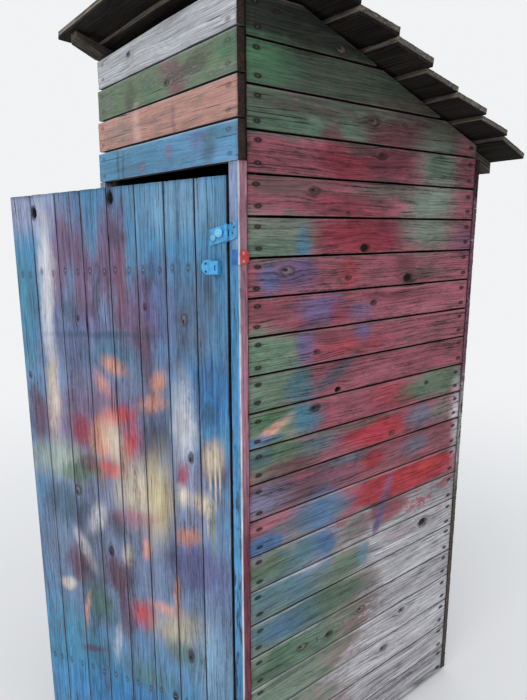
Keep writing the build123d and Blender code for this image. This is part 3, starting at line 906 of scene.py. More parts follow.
# Sprayed clouds on the right wall, by distance along it and height
RIGHT_CLOUDS = (
    # Top of the wall: dark green paint, darker towards the top as painted shade under the eaves
    (EAVES_SHADED_GREEN, (0.00, 2.27), (1.60, 0.31), 0, 0.04, 1.0),
    (DEEPER_EAVES_SHADED_GREEN, (0.00, 2.30), (0.90, 0.16), 0, 0.08, 1.0),
    (EAVES_SHADED_GREEN, (0.00, 2.12), (0.90, 0.060), 0, 0.2, 1.0),
    (SAGE, (0.00, 2.01), (0.90, 0.060), 0, 0.2, 1.0),
    (GREEN, (-0.43, 2.15), (0.08, 0.030), 0, 0.6, 0.7),
    (GREEN, (-0.42, 2.10), (0.10, 0.040), 0, 0.7, 0.7),
    (UMBER, (0.22, 2.08), (0.26, 0.030), 0, 0.8, 0.6),
    (LEAF, (-0.28, 1.99), (0.18, 0.030), 0, 0.7, 0.6),
    (MAROON, (-0.19, 1.98), (0.040, 0.035), 0, 0.6, 0.7),
    (MAROON, (0.08, 2.00), (0.14, 0.050), 0, 0.7, 0.8),
    (UMBER, (-0.25, 2.04), (0.20, 0.020), 0, 0.8, 0.6),
    (UMBER, (0.34, 2.01), (0.12, 0.040), 0, 0.8, 0.6),
    (CRIMSON, (-0.13, 1.91), (0.13, 0.055), 0, 0.6, 0.8),
    (GREY_MOSS, (-0.10, 1.95), (0.06, 0.018), 0, 0.7, 0.6),
    (MAROON, (0.05, 1.92), (0.12, 0.060), 0, 0.6, 0.85),
    (PALE_GREEN, (0.27, 1.92), (0.11, 0.070), -8, 0.7, 0.85),
    (LEAF, (0.27, 1.93), (0.08, 0.030), 0, 0.7, 0.7),
    (DULL_ROSE, (0.42, 1.87), (0.06, 0.20), 0, 0.5, 0.8),
    (GREY_MOSS, (-0.34, 1.84), (0.14, 0.030), 0, 0.7, 0.6),
    (SAGE, (0.02, 1.84), (0.14, 0.025), 0, 0.7, 0.75),
    (CRIMSON, (-0.14, 1.80), (0.14, 0.030), 0, 0.7, 0.7),
    (PALE_GREEN, (0.25, 1.82), (0.12, 0.070), 12, 0.7, 0.95),
    (PALE_GREEN, (-0.40, 1.72), (0.17, 0.060), 0, 0.3, 0.9),
    (LEAF, (-0.40, 1.69), (0.10, 0.030), 0, 0.7, 0.7),
    (TEAL, (-0.285, 1.70), (0.028, 0.040), 0, 0.6, 0.75),
    (CRIMSON, (-0.05, 1.72), (0.19, 0.055), 0, 0.4, 0.85),
    (MAROON, (0.05, 1.74), (0.08, 0.020), 0, 0.8, 0.6),
    (PALE_GREEN, (0.24, 1.73), (0.12, 0.065), 0, 0.7, 0.9),
    (MAUVE, (0.42, 1.70), (0.06, 0.040), 0, 0.6, 0.6),
    (BLUE, (-0.40, 1.61), (0.035, 0.035), 0, 0.7, 0.7),
    (VIOLET, (-0.31, 1.62), (0.07, 0.045), 0, 0.6, 0.7),
    (RED, (-0.11, 1.62), (0.030, 0.050), 0, 0.7, 0.6),
    (MAROON, (0.13, 1.62), (0.050, 0.040), 0, 0.7, 0.7),
    (GREY_MOSS, (0.24, 1.60), (0.10, 0.020), 0, 0.8, 0.6),
    (MAROON, (-0.40, 1.53), (0.09, 0.030), 0, 0.8, 0.5),
    (VIOLET, (-0.21, 1.52), (0.08, 0.040), 0, 0.5, 0.75),
    (RED, (-0.13, 1.50), (0.040, 0.030), 0, 0.7, 0.55),
    (VIOLET, (-0.05, 1.50), (0.050, 0.025), 0, 0.7, 0.6),
    (MAROON, (0.12, 1.54), (0.16, 0.015), 0, 0.8, 0.6),
    (PINK, (0.24, 1.48), (0.28, 0.025), 0, 0.8, 0.5),
    (FERN, (-0.42, 1.37), (0.14, 0.120), 0, 0.3, 0.95),
    (LEAF, (-0.43, 1.42), (0.10, 0.040), 0, 0.7, 0.7),
    (VIOLET, (-0.27, 1.42), (0.035, 0.050), 0, 0.6, 0.75),
    (MAROON, (-0.18, 1.44), (0.07, 0.025), 0, 0.7, 0.6),
    (RED, (-0.08, 1.40), (0.14, 0.025), 0, 0.7, 0.55),
    (VIOLET, (-0.04, 1.44), (0.035, 0.030), 0, 0.6, 0.7),
    (SEA, (-0.30, 1.30), (0.045, 0.060), 0, 0.6, 0.85),
    (DARK_TEAL, (-0.17, 1.33), (0.09, 0.020), 24, 0.7, 0.7),
    (PINK, (0.02, 1.30), (0.12, 0.025), 0, 0.8, 0.4),
    (FERN, (-0.42, 1.20), (0.16, 0.080), 0, 0.4, 0.9),
    (GREEN, (-0.37, 1.24), (0.10, 0.030), 0, 0.7, 0.8),
    (TEAL, (-0.26, 1.22), (0.050, 0.050), 0, 0.6, 0.8),
    (PALE_SALMON, (-0.38, 1.205), (0.060, 0.014), 22, 0.8, 0.75),
    (PEACH, (-0.39, 1.200), (0.040, 0.009), 22, 0.8, 0.7),
    (BLUE, (-0.43, 1.180), (0.060, 0.014), 0, 0.6, 0.8),
    (RED, (0.10, 1.22), (0.09, 0.045), 0, 0.7, 0.6),
    (LEAF, (0.34, 1.22), (0.17, 0.050), 0, 0.4, 0.9),
    (CHALK, (0.46, 1.05), (0.035, 0.15), 0, 0.6, 0.6),
    (LEAF, (-0.37, 1.12), (0.14, 0.050), 0, 0.5, 0.85),
    (DARK_TEAL, (-0.43, 1.13), (0.040, 0.030), 0, 0.7, 0.7),
    (MAROON, (-0.31, 1.09), (0.09, 0.025), 0, 0.7, 0.75),
    (SEA, (-0.20, 1.13), (0.07, 0.030), 0, 0.7, 0.7),
    (RED, (0.05, 1.11), (0.15, 0.045), 0, 0.5, 0.9),
    (SAGE, (-0.06, 1.155), (0.16, 0.012), 0, 0.7, 0.7),
    (SLATE, (0.26, 1.12), (0.08, 0.040), 0, 0.6, 0.85),
    (PALE_GREEN, (0.38, 1.12), (0.06, 0.040), 0, 0.7, 0.6),
    (MIST, (-0.42, 1.01), (0.10, 0.045), 0, 0.5, 0.85),
    (MAUVE, (-0.22, 1.01), (0.15, 0.045), 0, 0.7, 0.6),
    (UMBER, (-0.26, 1.00), (0.12, 0.030), 0, 0.8, 0.4),
    (SEA, (-0.10, 1.05), (0.10, 0.015), 0, 0.8, 0.7),
    (RED, (0.01, 1.02), (0.05, 0.035), 0, 0.6, 0.85),
    (SLATE, (0.22, 1.02), (0.07, 0.030), 0, 0.7, 0.85),
    (BARE, (0.00, 0.33), (1.30, 0.54), 0, 0.05, 1.0),
    (FERN, (-0.42, 0.55), (0.42, 0.32), 0, 0.4, 0.85),
    (FERN, (-0.42, 0.20), (0.34, 0.24), 0, 0.5, 0.75),
    (RED, (0.18, 0.91), (0.30, 0.055), 0, 0.3, 0.97),
    (SCARLET, (0.28, 0.92), (0.12, 0.035), 0, 0.7, 0.4),
    (VIOLET, (0.09, 0.90), (0.018, 0.06), -20, 0.7, 0.5),
    (PINK, (-0.38, 0.945), (0.12, 0.016), 0, 0.7, 0.8),
    (BLUE, (-0.42, 0.88), (0.070, 0.035), 0, 0.5, 0.9),
    (BLUE, (-0.21, 0.92), (0.11, 0.050), 0, 0.5, 0.6),
    (SEA, (-0.21, 0.91), (0.13, 0.055), 0, 0.5, 0.7),
    (LEAF, (-0.39, 0.80), (0.12, 0.045), 0, 0.5, 0.85),
    (SEA, (-0.25, 0.81), (0.09, 0.050), 0, 0.5, 0.85),
    (BLUE, (-0.18, 0.79), (0.035, 0.050), 0, 0.6, 0.7),
    (PALE_GREEN, (-0.05, 0.81), (0.08, 0.045), 0, 0.7, 0.6),
    (ROSE, (0.09, 0.82), (0.10, 0.045), 0, 0.6, 0.8),
    (VIOLET, (0.05, 0.80), (0.018, 0.06), -20, 0.7, 0.8),
    (SEA, (-0.37, 0.71), (0.14, 0.055), 0, 0.5, 0.8),
    (LILAC, (-0.25, 0.74), (0.05, 0.035), 0, 0.7, 0.7),
    (BLUE, (-0.18, 0.72), (0.025, 0.040), 0, 0.7, 0.5),
    (LEAF, (-0.09, 0.70), (0.11, 0.050), 0, 0.6, 0.85),
    (TEAL, (-0.01, 0.70), (0.030, 0.050), 0, 0.7, 0.7),
    (PINK, (0.16, 0.72), (0.12, 0.030), 0, 0.8, 0.3),
    (SEA, (-0.27, 0.66), (0.055, 0.15), 14, 0.7, 0.8),
    (BLUE, (-0.20, 0.86), (0.050, 0.10), 10, 0.8, 0.5),
    (SEA, (-0.36, 0.60), (0.15, 0.055), 0, 0.5, 0.85),
    (BLUE, (-0.34, 0.58), (0.08, 0.040), 0, 0.7, 0.5),
    (LEAF, (-0.12, 0.60), (0.16, 0.050), 0, 0.7, 0.85),
    (LEAF, (-0.33, 0.48), (0.18, 0.055), 0, 0.5, 0.85),
    (GREEN, (-0.36, 0.51), (0.06, 0.030), 0, 0.7, 0.6),
)
RIGHT_KNOTS = (
    (-0.034, 2.027, 0.009, 0.7, False),
    (0.011, 1.940, 0.010, 0.35, False),
    (-0.252, 1.834, 0.010, 0.6, False),
    (-0.054, 1.684, 0.011, 0.1, True),
    (-0.343, 1.631, 0.012, 0.85, False),
    (0.146, 1.588, 0.012, 0.05, True),
    (-0.235, 1.402, 0.007, 0.5, False),
    (-0.149, 1.280, 0.007, 0.05, True),
    (0.292, 0.712, 0.013, 0.3, True),
    (-0.016, 0.500, 0.010, 0.9, False),
    (-0.277, 0.485, 0.010, 0.9, False),
    (0.36, 2.10, 0.009, 0.4, False),
    (0.20, 0.400, 0.009, 0.5, False),
)
RIGHT_CRACKS = (
    (2.008, -0.48, -0.27, 0.0014),
    (1.865, -0.48, -0.36, 0.0010),
    (1.700, 0.22, 0.48, 0.0012),
    (1.255, -0.48, -0.30, 0.0010),
    (0.955, 0.10, 0.48, 0.0010),
    (0.620, -0.10, 0.48, 0.0010),
)
FAR_CLOUDS = (
    (PALE_GREEN, (-0.20, 1.70), (0.30, 0.22), 0, 0.6, 0.6),
    (LILAC, (0.25, 1.30), (0.22, 0.30), 10, 0.6, 0.5),
    (RED, (0.10, 1.00), (0.20, 0.10), -15, 0.5, 0.5),
    (TEAL, (-0.30, 0.95), (0.12, 0.20), 0, 0.6, 0.5),
    (BARE, (0.1, 0.22), (0.60, 0.55), 20, 0.8, 0.9),
    (BARE, (0.2, 2.05), (0.50, 0.30), -15, 0.8, 0.7),
    (LILAC, (-0.35, 0.50), (0.12, 0.10), 0, 0.6, 0.5),
    (GREEN, (0.38, 0.65), (0.14, 0.12), 0, 0.6, 0.5),
)

# Sprayed clouds on the door, by distance from its hinge and height
DOOR_CLOUDS = (
    (MIST, (0.44, 1.20), (0.30, 0.45), 0, 0.5, 0.75),
    (MIST, (0.30, 0.75), (0.42, 0.32), 0, 0.6, 0.75),
    (SLATE, (0.58, 0.72), (0.16, 0.20), 0, 0.7, 0.6),
    (LILAC, (0.66, 1.80), (0.14, 0.08), 0, 0.6, 0.8),
    (SLATE, (0.68, 1.84), (0.06, 0.02), 0, 0.7, 0.5),
    (TEAL, (0.70, 1.50), (0.05, 0.18), 2, 0.4, 0.75),
    (PALE_SKY, (0.14, 1.80), (0.12, 0.08), 0, 0.7, 0.6),
    (MAUVE, (0.56, 1.66), (0.050, 0.14), 10, 0.6, 0.75),
    (MAUVE, (0.47, 1.62), (0.040, 0.17), -4, 0.6, 0.75),
    (MAUVE, (0.37, 1.66), (0.050, 0.14), 5, 0.6, 0.75),
    (ROSE, (0.33, 1.58), (0.016, 0.16), 4, 0.6, 0.65),
    (MAUVE, (0.28, 1.50), (0.060, 0.10), 0, 0.6, 0.75),
    (VIOLET, (0.20, 1.52), (0.080, 0.12), 0, 0.7, 0.6),
    (VIOLET, (0.50, 1.42), (0.150, 0.08), 0, 0.7, 0.55),
    (MAROON, (0.26, 1.38), (0.018, 0.12), -3, 0.6, 0.65),
    (SMOKE, (0.60, 1.60), (0.014, 0.10), 3, 0.7, 0.5),
    (SMOKE, (0.42, 1.57), (0.020, 0.07), 16, 0.7, 0.5),
    (SMOKE, (0.34, 1.72), (0.020, 0.03), -20, 0.7, 0.45),
    (SMOKE, (0.23, 1.63), (0.016, 0.05), 8, 0.7, 0.5),
    (SMOKE, (0.53, 1.51), (0.030, 0.03), 0, 0.7, 0.45),
    # Painted shadow: a dark smudge on the door just below the latch
    (SMOKE, (0.055, 1.585), (0.018, 0.040), 0, 0.9, 0.6),
    (CHALK, (0.615, 1.58), (0.026, 0.20), 3, 0.5, 0.85),
    (SLATE, (0.10, 1.50), (0.070, 0.12), 0, 0.7, 0.6),
    (TEAL, (0.38, 1.38), (0.080, 0.05), 0, 0.7, 0.6),
    (DARK_TEAL, (0.42, 1.44), (0.16, 0.010), -3, 0.7, 0.6),
    (PEACH, (0.375, 1.355), (0.040, 0.022), 24, 0.9, 0.85),
    (PEACH, (0.415, 1.290), (0.020, 0.040), -30, 0.9, 0.8),
    (PEACH, (0.220, 1.320), (0.020, 0.034), 20, 0.9, 0.85),
    (PEACH, (0.245, 1.255), (0.038, 0.018), -18, 0.9, 0.85),
    (CREAM, (0.62, 1.23), (0.026, 0.13), 4, 0.6, 0.8),
    (MAROON, (0.68, 1.16), (0.040, 0.09), 0, 0.6, 0.75),
    (MAUVE, (0.45, 1.16), (0.17, 0.14), 0, 0.6, 0.65),
    (SMOKE, (0.24, 1.15), (0.045, 0.080), 5, 0.6, 0.7),
    (SCARLET, (0.38, 1.20), (0.070, 0.030), -18, 0.6, 0.8),
    (SCARLET, (0.33, 1.12), (0.030, 0.070), 14, 0.9, 0.8),
    (RED, (0.51, 1.14), (0.035, 0.050), 0, 0.6, 0.75),
    (PEACH, (0.43, 1.12), (0.045, 0.060), 6, 0.6, 0.85),
    (CREAM, (0.39, 1.13), (0.036, 0.070), -14, 0.9, 0.85),
    (SCARLET, (0.42, 1.03), (0.070, 0.026), -4, 0.6, 0.8),
    (PALE_SAGE, (0.60, 1.03), (0.140, 0.060), -4, 0.6, 0.8),
    (LEAF, (0.53, 1.00), (0.090, 0.030), -10, 0.6, 0.75),
    (MAROON, (0.49, 1.04), (0.040, 0.030), 0, 0.6, 0.6),
    (CREAM, (0.31, 0.98), (0.070, 0.090), 10, 0.8, 0.9),
    (OCHRE, (0.235, 0.97), (0.046, 0.130), 4, 0.8, 0.9),
    (CHALK, (0.135, 1.22), (0.040, 0.12), 0, 0.6, 0.85),
    (LILAC, (0.110, 1.00), (0.060, 0.12), 0, 0.7, 0.7),
    (DEEP_SKY, (0.05, 1.30), (0.07, 0.09), 0, 0.5, 0.8),
    (SMOKE, (0.060, 1.250), (0.020, 0.035), 0, 0.7, 0.6),
    (MAROON, (0.05, 1.11), (0.050, 0.055), 0, 0.5, 0.8),
    (CREAM, (0.050, 1.125), (0.028, 0.045), 16, 0.8, 0.95),
    (CREAM, (0.034, 1.075), (0.0035, 0.050), 0, 0.6, 0.9),
    (CREAM, (0.048, 1.060), (0.0030, 0.065), 0, 0.6, 0.9),
    (CREAM, (0.064, 1.070), (0.0035, 0.055), 0, 0.6, 0.9),
    (CREAM, (0.085, 0.985), (0.036, 0.024), 24, 0.8, 0.9),
    (CREAM, (0.075, 0.945), (0.0035, 0.050), 0, 0.6, 0.8),
    (LIME, (0.058, 0.90), (0.0040, 0.080), 0, 0.6, 0.9),
    (RED, (0.148, 1.06), (0.018, 0.035), 0, 0.6, 0.75),
    (CREAM, (0.150, 1.00), (0.020, 0.035), 0, 0.6, 0.85),
    (PEACH, (0.135, 0.875), (0.036, 0.024), -14, 0.8, 0.95),
    (PEACH, (0.140, 0.845), (0.0035, 0.035), 0, 0.6, 0.8),
    (VIOLET, (0.10, 0.78), (0.11, 0.08), 0, 0.6, 0.8),
    (DARK_TEAL, (0.60, 0.88), (0.09, 0.06), 10, 0.6, 0.7),
    (PINK, (0.33, 0.89), (0.080, 0.030), -8, 0.7, 0.6),
    (CHALK, (0.47, 0.86), (0.026, 0.060), 24, 0.6, 0.8),
    (CHALK, (0.53, 0.74), (0.024, 0.070), -30, 0.6, 0.75),
    (SMOKE, (0.40, 0.86), (0.040, 0.040), 0, 0.7, 0.6),
    (PEACH, (0.29, 0.80), (0.016, 0.040), 6, 0.6, 0.75),
    (CREAM, (0.36, 0.76), (0.022, 0.040), 10, 0.6, 0.6),
    (MAROON, (0.56, 0.68), (0.050, 0.070), 0, 0.6, 0.75),
    (MAROON, (0.40, 0.68), (0.050, 0.060), 0, 0.6, 0.75),
    (PEACH, (0.18, 0.68), (0.012, 0.060), 0, 0.6, 0.7),
    (GREEN, (0.48, 0.56), (0.060, 0.060), 0, 0.7, 0.6),
    (MAROON, (0.38, 0.56), (0.030, 0.080), 0, 0.6, 0.7),
    (SCARLET, (0.31, 0.57), (0.036, 0.045), 20, 0.8, 0.8),
    (OCHRE, (0.175, 0.56), (0.090, 0.060), -8, 0.7, 0.65),
    (PEACH, (0.23, 0.62), (0.050, 0.020), 10, 0.7, 0.6),
    (LEAF, (0.16, 0.48), (0.080, 0.040), 0, 0.7, 0.6),
    (PEACH, (0.54, 0.50), (0.012, 0.080), 12, 0.6, 0.75),
    (CREAM, (0.62, 0.60), (0.030, 0.020), -20, 0.6, 0.6),
    (TEAL, (0.60, 0.36), (0.16, 0.14), 0, 0.6, 0.7),
    (MAROON, (0.52, 0.38), (0.050, 0.012), -16, 0.6, 0.65),
    (LEAF, (0.30, 0.36), (0.080, 0.050), 0, 0.7, 0.6),
    (CHALK, (0.42, 0.44), (0.014, 0.060), 6, 0.7, 0.5),
    (PALE_SKY, (0.06, 0.46), (0.08, 0.14), 0, 0.6, 0.7),
    (DEEP_SKY, (0.45, 0.22), (0.24, 0.10), 0, 0.6, 0.6),
    (VIOLET, (0.20, 0.16), (0.14, 0.08), 0, 0.6, 0.6),
)
DOOR_KNOTS = (
    (0.639, 1.785, 0.010, 0.05, True),
    (0.359, 1.820, 0.010, 0.1, True),
    (0.280, 1.362, 0.011, 0.05, True),
    (0.125, 1.119, 0.009, 0.3, False),
    (0.145, 0.485, 0.010, 0.4, False),
    (0.206, 0.318, 0.009, 0.4, False),
    (0.134, 1.504, 0.008, 0.8, False),
    (0.545, 0.940, 0.009, 0.95, False),
    (0.425, 0.760, 0.008, 0.5, False),
)
DOOR_CRACKS = (
    (0.058, 1.44, 1.87, 0.0012),
    (0.035, 1.62, 1.87, 0.0010),
    (0.145, 1.70, 1.87, 0.0009),
    (0.230, 1.30, 1.55, 0.0008),
    (0.330, 1.15, 1.42, 0.0008),
    (0.510, 1.60, 1.84, 0.0009),
    (0.600, 0.80, 1.05, 0.0008),
    (0.680, 1.20, 1.60, 0.0008),
    (0.090, 0.30, 0.75, 0.0009),
    (0.260, 0.10, 0.45, 0.0009),
)

# Header boards, from the bottom up: base, cover, clouds by place across and height
HEADERS = (
    ("header_blue", srgb(84, 138, 176), 0.75, (
        (TEAL, (-0.20, 1.94), (0.22, 0.05), 0, 0.8, 0.5),
        (VIOLET, (0.26, 1.960), (0.035, 0.024), 10, 0.6, 0.6),
        (MAUVE, (0.10, 1.950), (0.020, 0.020), 0, 0.6, 0.45),
        (SMOKE, (0.31, 1.945), (0.028, 0.045), -20, 0.7, 0.6),
        (MAUVE, (-0.07, 1.93), (0.022, 0.014), 0, 0.6, 0.45),
        (SMOKE, (-0.23, 1.94), (0.010, 0.05), 0, 0.7, 0.6),
        (SMOKE, (-0.19, 1.92), (0.008, 0.05), 0, 0.7, 0.5),
        (TEAL, (0.36, 1.965), (0.05, 0.020), 0, 0.5, 0.6),
    )),
    ("header_salmon", srgb(194, 144, 130), 0.75, (
        (PALE_SALMON, (-0.13, 2.03), (0.022, 0.07), 4, 0.6, 0.7),
        (MAUVE, (0.09, 2.03), (0.012, 0.05), 6, 0.6, 0.5),
        (PALE_GREEN, (-0.25, 2.04), (0.10, 0.03), 0, 0.6, 0.35),
    )),
    ("header_green", srgb(102, 122, 92), 0.72, (
        (DULL_ROSE, (0.09, 2.15), (0.070, 0.022), -8, 0.7, 0.7),
        (DULL_ROSE, (0.12, 2.09), (0.050, 0.040), 30, 0.7, 0.75),
        (UMBER, (0.10, 2.12), (0.050, 0.012), -8, 0.8, 0.6),
        (UMBER, (0.20, 2.14), (0.070, 0.020), 12, 0.8, 0.6),
        (UMBER, (-0.16, 2.11), (0.030, 0.050), 0, 0.8, 0.6),
        (PALE_SALMON, (-0.12, 2.08), (0.022, 0.018), 0, 0.7, 0.45),
        (GREEN, (0.36, 2.145), (0.05, 0.020), 0, 0.5, 0.8),
        (UMBER, (0.24, 2.13), (0.05, 0.018), 10, 0.6, 0.45),
        (GREEN, (-0.04, 2.11), (0.05, 0.040), 0, 0.6, 0.5),
    )),
    ("header_grey", SILVERED, 0.05, (
        (UMBER, (0.14, 2.27), (0.12, 0.022), 5, 0.8, 0.5),
        (UMBER, (-0.10, 2.22), (0.015, 0.020), 0, 0.6, 0.35),
    )),
)
STRIP_CORNER = (0.4090, -0.4960)


def strip_sides(g, colour):
    """The outer side of the strip is dusty rose, maroon low down, with a rubbed pale corner."""
    _, _, height = g.split(g.place())
    streak = g.fibres(g.attribute("grain"), (5.0, 220.0, 220.0), 3.0, 0.6)
    rose = g.mix(g.ramp(height, 1.15, 0.85), srgb(172, 122, 138), srgb(124, 62, 76))
    rose = g.mix(g.ramp(streak, 0.42, 0.7, 0.0, 0.6), rose, srgb(112, 88, 100))
    faded = g.times(g.ramp(height, 1.62, 1.80), g.ramp(streak, 0.35, 0.6, 0.4, 0.9))
    colour = g.mix(faded, colour, LILAC)
    smudge = g.ramp(g.fibres(g.attribute("grain"), (16.0, 60.0, 60.0)), 0.52, 0.62)
    smudge = g.times(smudge, g.ramp(height, 1.35, 1.15))
    colour = g.mix(g.times(smudge, 0.7), colour, SMOKE)
    return round_corner(g, colour, rose, STRIP_CORNER)


def back_ends(g):
    """Ends of the back boards: bare and dark high up, overpainted lower down."""
    _, height, _ = g.split(g.attribute("place"))
    lumps = g.noise(g.attribute("grain"), 60.0, 3.0, 0.6)
    height = g.plus(height, (g.centred(lumps), 0.25))
    colour = g.mix(g.ramp(height, 0.75, 0.95), srgb(112, 98, 92), srgb(188, 186, 184))
    colour = g.mix(g.ramp(height, 1.15, 1.25), colour, srgb(150, 104, 124))
    return g.mix(g.ramp(height, 1.80, 1.92), colour, srgb(62, 48, 52))


def lichen(g, colour):
    """Yellow-grey specks on top of the weathered roof and on its ends, thickest near them."""
    place = g.place()
    across, _, _ = g.split(place)
    _, edge_end, depth = g.split(g.attribute("edge"))
    specks = g.noise(place, 90.0, 4.0, 0.75)
    patches = g.noise(place, 14.0, 3.0, 0.6)
    near_end = g.ramp(g.math("ABSOLUTE", across), 0.40, 0.50)
    amount = g.plus(g.times(patches, 0.30), (near_end, 0.04))
    grown = g.ramp(g.math("ADD", specks, amount), 0.78, 0.84)
    open_to_rain = g.math("MAXIMUM", g.ramp(depth, 0.005, 0.002), g.ramp(edge_end, 0.0012, 0.0004))
    grown = g.times(g.times(grown, open_to_rain), 0.65)
    return g.mix(grown, colour, srgb(156, 152, 134))


NAIL_FINISH = {"chips": 0.5, "scale": 900.0}
nail_metal = metal("nail_iron", srgb(70, 62, 62), rust=srgb(44, 32, 32), roughness=0.7, **NAIL_FINISH)
pale_nail = metal("nail_zinc", srgb(150, 142, 140), rust=srgb(70, 50, 44), **NAIL_FINISH)
bare_wood = wood("bare_wood", BROWN, joint_shade=0.9, inner_shade=0.8)
far_wood = wood("far_boards", SILVER, DULL_ROSE, 0.5, FAR_CLOUDS, upper=AGED_AND_EAVES_SHADED, ends=back_ends, lit_edge=0.4)
strip_wood = wood(
    "jamb_strip", WASHED, srgb(76, 142, 188), 0.9, extra=strip_sides, joint_shade=1.0, inner_shade=1.0
)
# Roof boards: edges painted lighter, as lit (joint shade above one), and the underside painted near black as
# shade (inner shade)
roof_wood = wood(
    "roof_boards", ROOF, contrast=0.8, end_colour=srgb(116, 108, 99), extra=lichen, thickness=0.019,
    joint_shade=1.3, inner_shade=0.14,
)
blue_metal = metal("blue_metal", srgb(76, 168, 222))
# Paler copy of the blue metal for the bolt and nut heads: wear, and a painted highlight on the raised heads
worn_highlit_blue_metal = metal("worn_highlit_blue_metal", srgb(130, 204, 240))
strap_metal = metal("strap_metal", srgb(28, 112, 190), srgb(188, 50, 52))
pale_screw = metal("pale_screw", srgb(214, 150, 150), chips=0.7, scale=600.0)
dark_screw = metal("dark_screw", srgb(36, 78, 108), chips=0.55, scale=600.0)


SAWN_ROUGHNESS = 0.9


def sawn_wood(name, along, light, dark):
    """Rough bare timber whose grain runs along a direction, on a piece kept from the frame."""
    g = Graph(name)
    place = g.place()
    length = g.vector("DOT_PRODUCT", place, tuple(along), out=1)
    height = g.vector("DOT_PRODUCT", place, tuple(np.cross(along, X)), out=1)
    depth, _, _ = g.split(place)
    grain = g.combine(length, height, depth)
    fine = g.fibres(grain, (20.0, 500.0, 500.0))
    streak = g.fibres(grain, (6.0, 180.0, 180.0), 3.0, 0.6)
    patch = g.fibres(grain, (9.0, 16.0, 16.0), 4.0, 0.65)
    colour = g.mix(g.ramp(streak, 0.38, 0.62), dark, light)
    colour = g.mix(g.ramp(patch, 0.45, 0.7, 0.0, 0.5), colour, dark)
    colour = g.shaded(colour, g.ramp(fine, 0.25, 0.75, 0.7, 1.2))
    relief = g.math("ADD", fine, streak)
    return g.finish(colour, SAWN_ROUGHNESS, relief, strength=0.4, distance=0.001, specular=WOOD_SHINE)


ACROSS, UPWARDS = 0, 1      # the two directions of a cloud's place
STRETCH_MARGIN = 0.06
TURNED_REACH = 1.3          # a soft cloud reaches this many of its half sizes


def stretch_woods(name, direction, span, count, clouds, **finish):
    """Woods for equal stretches of a surface, each with only the clouds that reach it."""
    woods = []
    for i in range(count):
        low = span * i / count - STRETCH_MARGIN
        high = span * (i + 1) / count + STRETCH_MARGIN
        near = []
        for cloud in clouds:
            _, centre, size, turn, _, _ = cloud
            reach = TURNED_REACH * (max(size) if turn else size[direction])
            if low < centre[direction] + reach and high > centre[direction] - reach:
                near.append(cloud)
        woods.append(wood(f"{name}_{i}", clouds=near, **finish))
    return woods


def pick(woods, share):
    return woods[min(int(share * len(woods)), len(woods) - 1)]


# Side and back walls, and how finely each kind of board is cut into faces
WALL_TOP = 2.3
WALL_DETAIL = {"spacing": 0.016, "inner_column": 0.03}
ROUGH_DETAIL = {"spacing": 0.03, "column": 0.007, "inner_column": 0.03}
SIDE_STRETCHES = 5
SIDE_FINISH = {"bare": SILVER, "upper": AGED_AND_EAVES_SHADED, "paint": ROSE, "cover": 0.64, "stepped": 0.02,
               "ragged": 0.02, "contrast": 1.0, "lit_edge": 0.45}


def wall(node, out, along, woods, knots=(), cracks=(), wear=USUAL_WEAR, snug=0.0):
    """One wall of boards in place of its CAD node, nailed at both ends."""
    planks = [
        Plank(f"{node}_{i}", corners, along, out, trimmed=True, snug=snug)
        for i, corners in enumerate(solids(node))
    ]
    horizontal = np.abs(along)
    add_knots(planks, horizontal, knots)
    add_cracks(planks, cracks)
    materials = []
    for plank in planks:
        plank.wear = wear
        plank.end_nails()
        plank.random_marks(knots=0.6 if knots else 1.4)
        materials.append(pick(woods, (plank.low + plank.width / 2) / WALL_TOP))
    name = node.replace("_boards", "")
    joined(name, planks, materials, "building", "sprayed_wall_boards", [node], horizontal, **WALL_DETAIL)
    nail_heads(f"{name}_nails", planks, nail_metal, "building")


side_woods = stretch_woods("side_boards", UPWARDS, WALL_TOP, SIDE_STRETCHES, RIGHT_CLOUDS, **SIDE_FINISH)
wall("right_wall_boards", X, Y, side_woods, RIGHT_KNOTS, RIGHT_CRACKS)
wall("left_wall_boards", -X, -Y, [far_wood], wear=0.0, snug=0.0012)
wall("back_wall_boards", Y, -X, [far_wood], wear=0.0, snug=0.0007)

# Header boards
HEADER_NAIL_INSET = 0.038
planks = []
for row, (slot, paint, cover, clouds) in enumerate(HEADERS, 1):
    node = f"header_board_{row}"
    plank = Plank(node, solids(node)[0], X, -Y, trimmed=True)
    plank.end_nails(HEADER_NAIL_INSET)
    plank.random_marks(cracks=2.0)
    material = wood(slot, ASH, paint, cover, clouds, contrast=0.6, rusty=0.4, lit_edge=0.3)
    joined(f"header_{row}", [plank], [material], "building", slot, [node], X)
    planks.append(plank)
nail_heads("header_nails", planks, pale_nail, "building")

# Jamb strips
for side in ("left", "right"):
    node = f"{side}_jamb_strip"
    plank = Plank(node, solids(node)[0], Z, -Y)
    plank.random_marks(knots=0.0, cracks=2.0)
    joined(f"{side}_strip", [plank], [strip_wood], "building", "strip_paint", [node], X, column=0.003)


# Frame and floor
def bare_timber(node, along, out, body="building"):
    plank = Plank(node, solids(node)[0], along, out)
    plank.random_marks()
    joined(f"{node}_worn", [plank], [bare_wood], body, "bare_wood", [node], X, **ROUGH_DETAIL)


for end, out in (("front", Y), ("back", -Y)):
    for side in ("left", "right"):
        bare_timber(f"{end}_{side}_post", Z, out)
bare_timber("front_sill", X, -Y)
bare_timber("middle_joist", X, -Y)
bare_timber("back_sill", X, Y)
planks = [Plank(f"floor_{i}", corners, Y, Z) for i, corners in enumerate(solids("floor_boards"))]
for plank in planks:
    plank.random_marks()
joined("floor", planks, [bare_wood], "building", "bare_wood", ["floor_boards"], X, **ROUGH_DETAIL)

# Rafters stay as the frame's own solids, with worn corners
ARRIS = 0.002
METAL_ARRIS = 0.0004
WELD_DISTANCE = 0.00001
SHARP = math.radians(40)


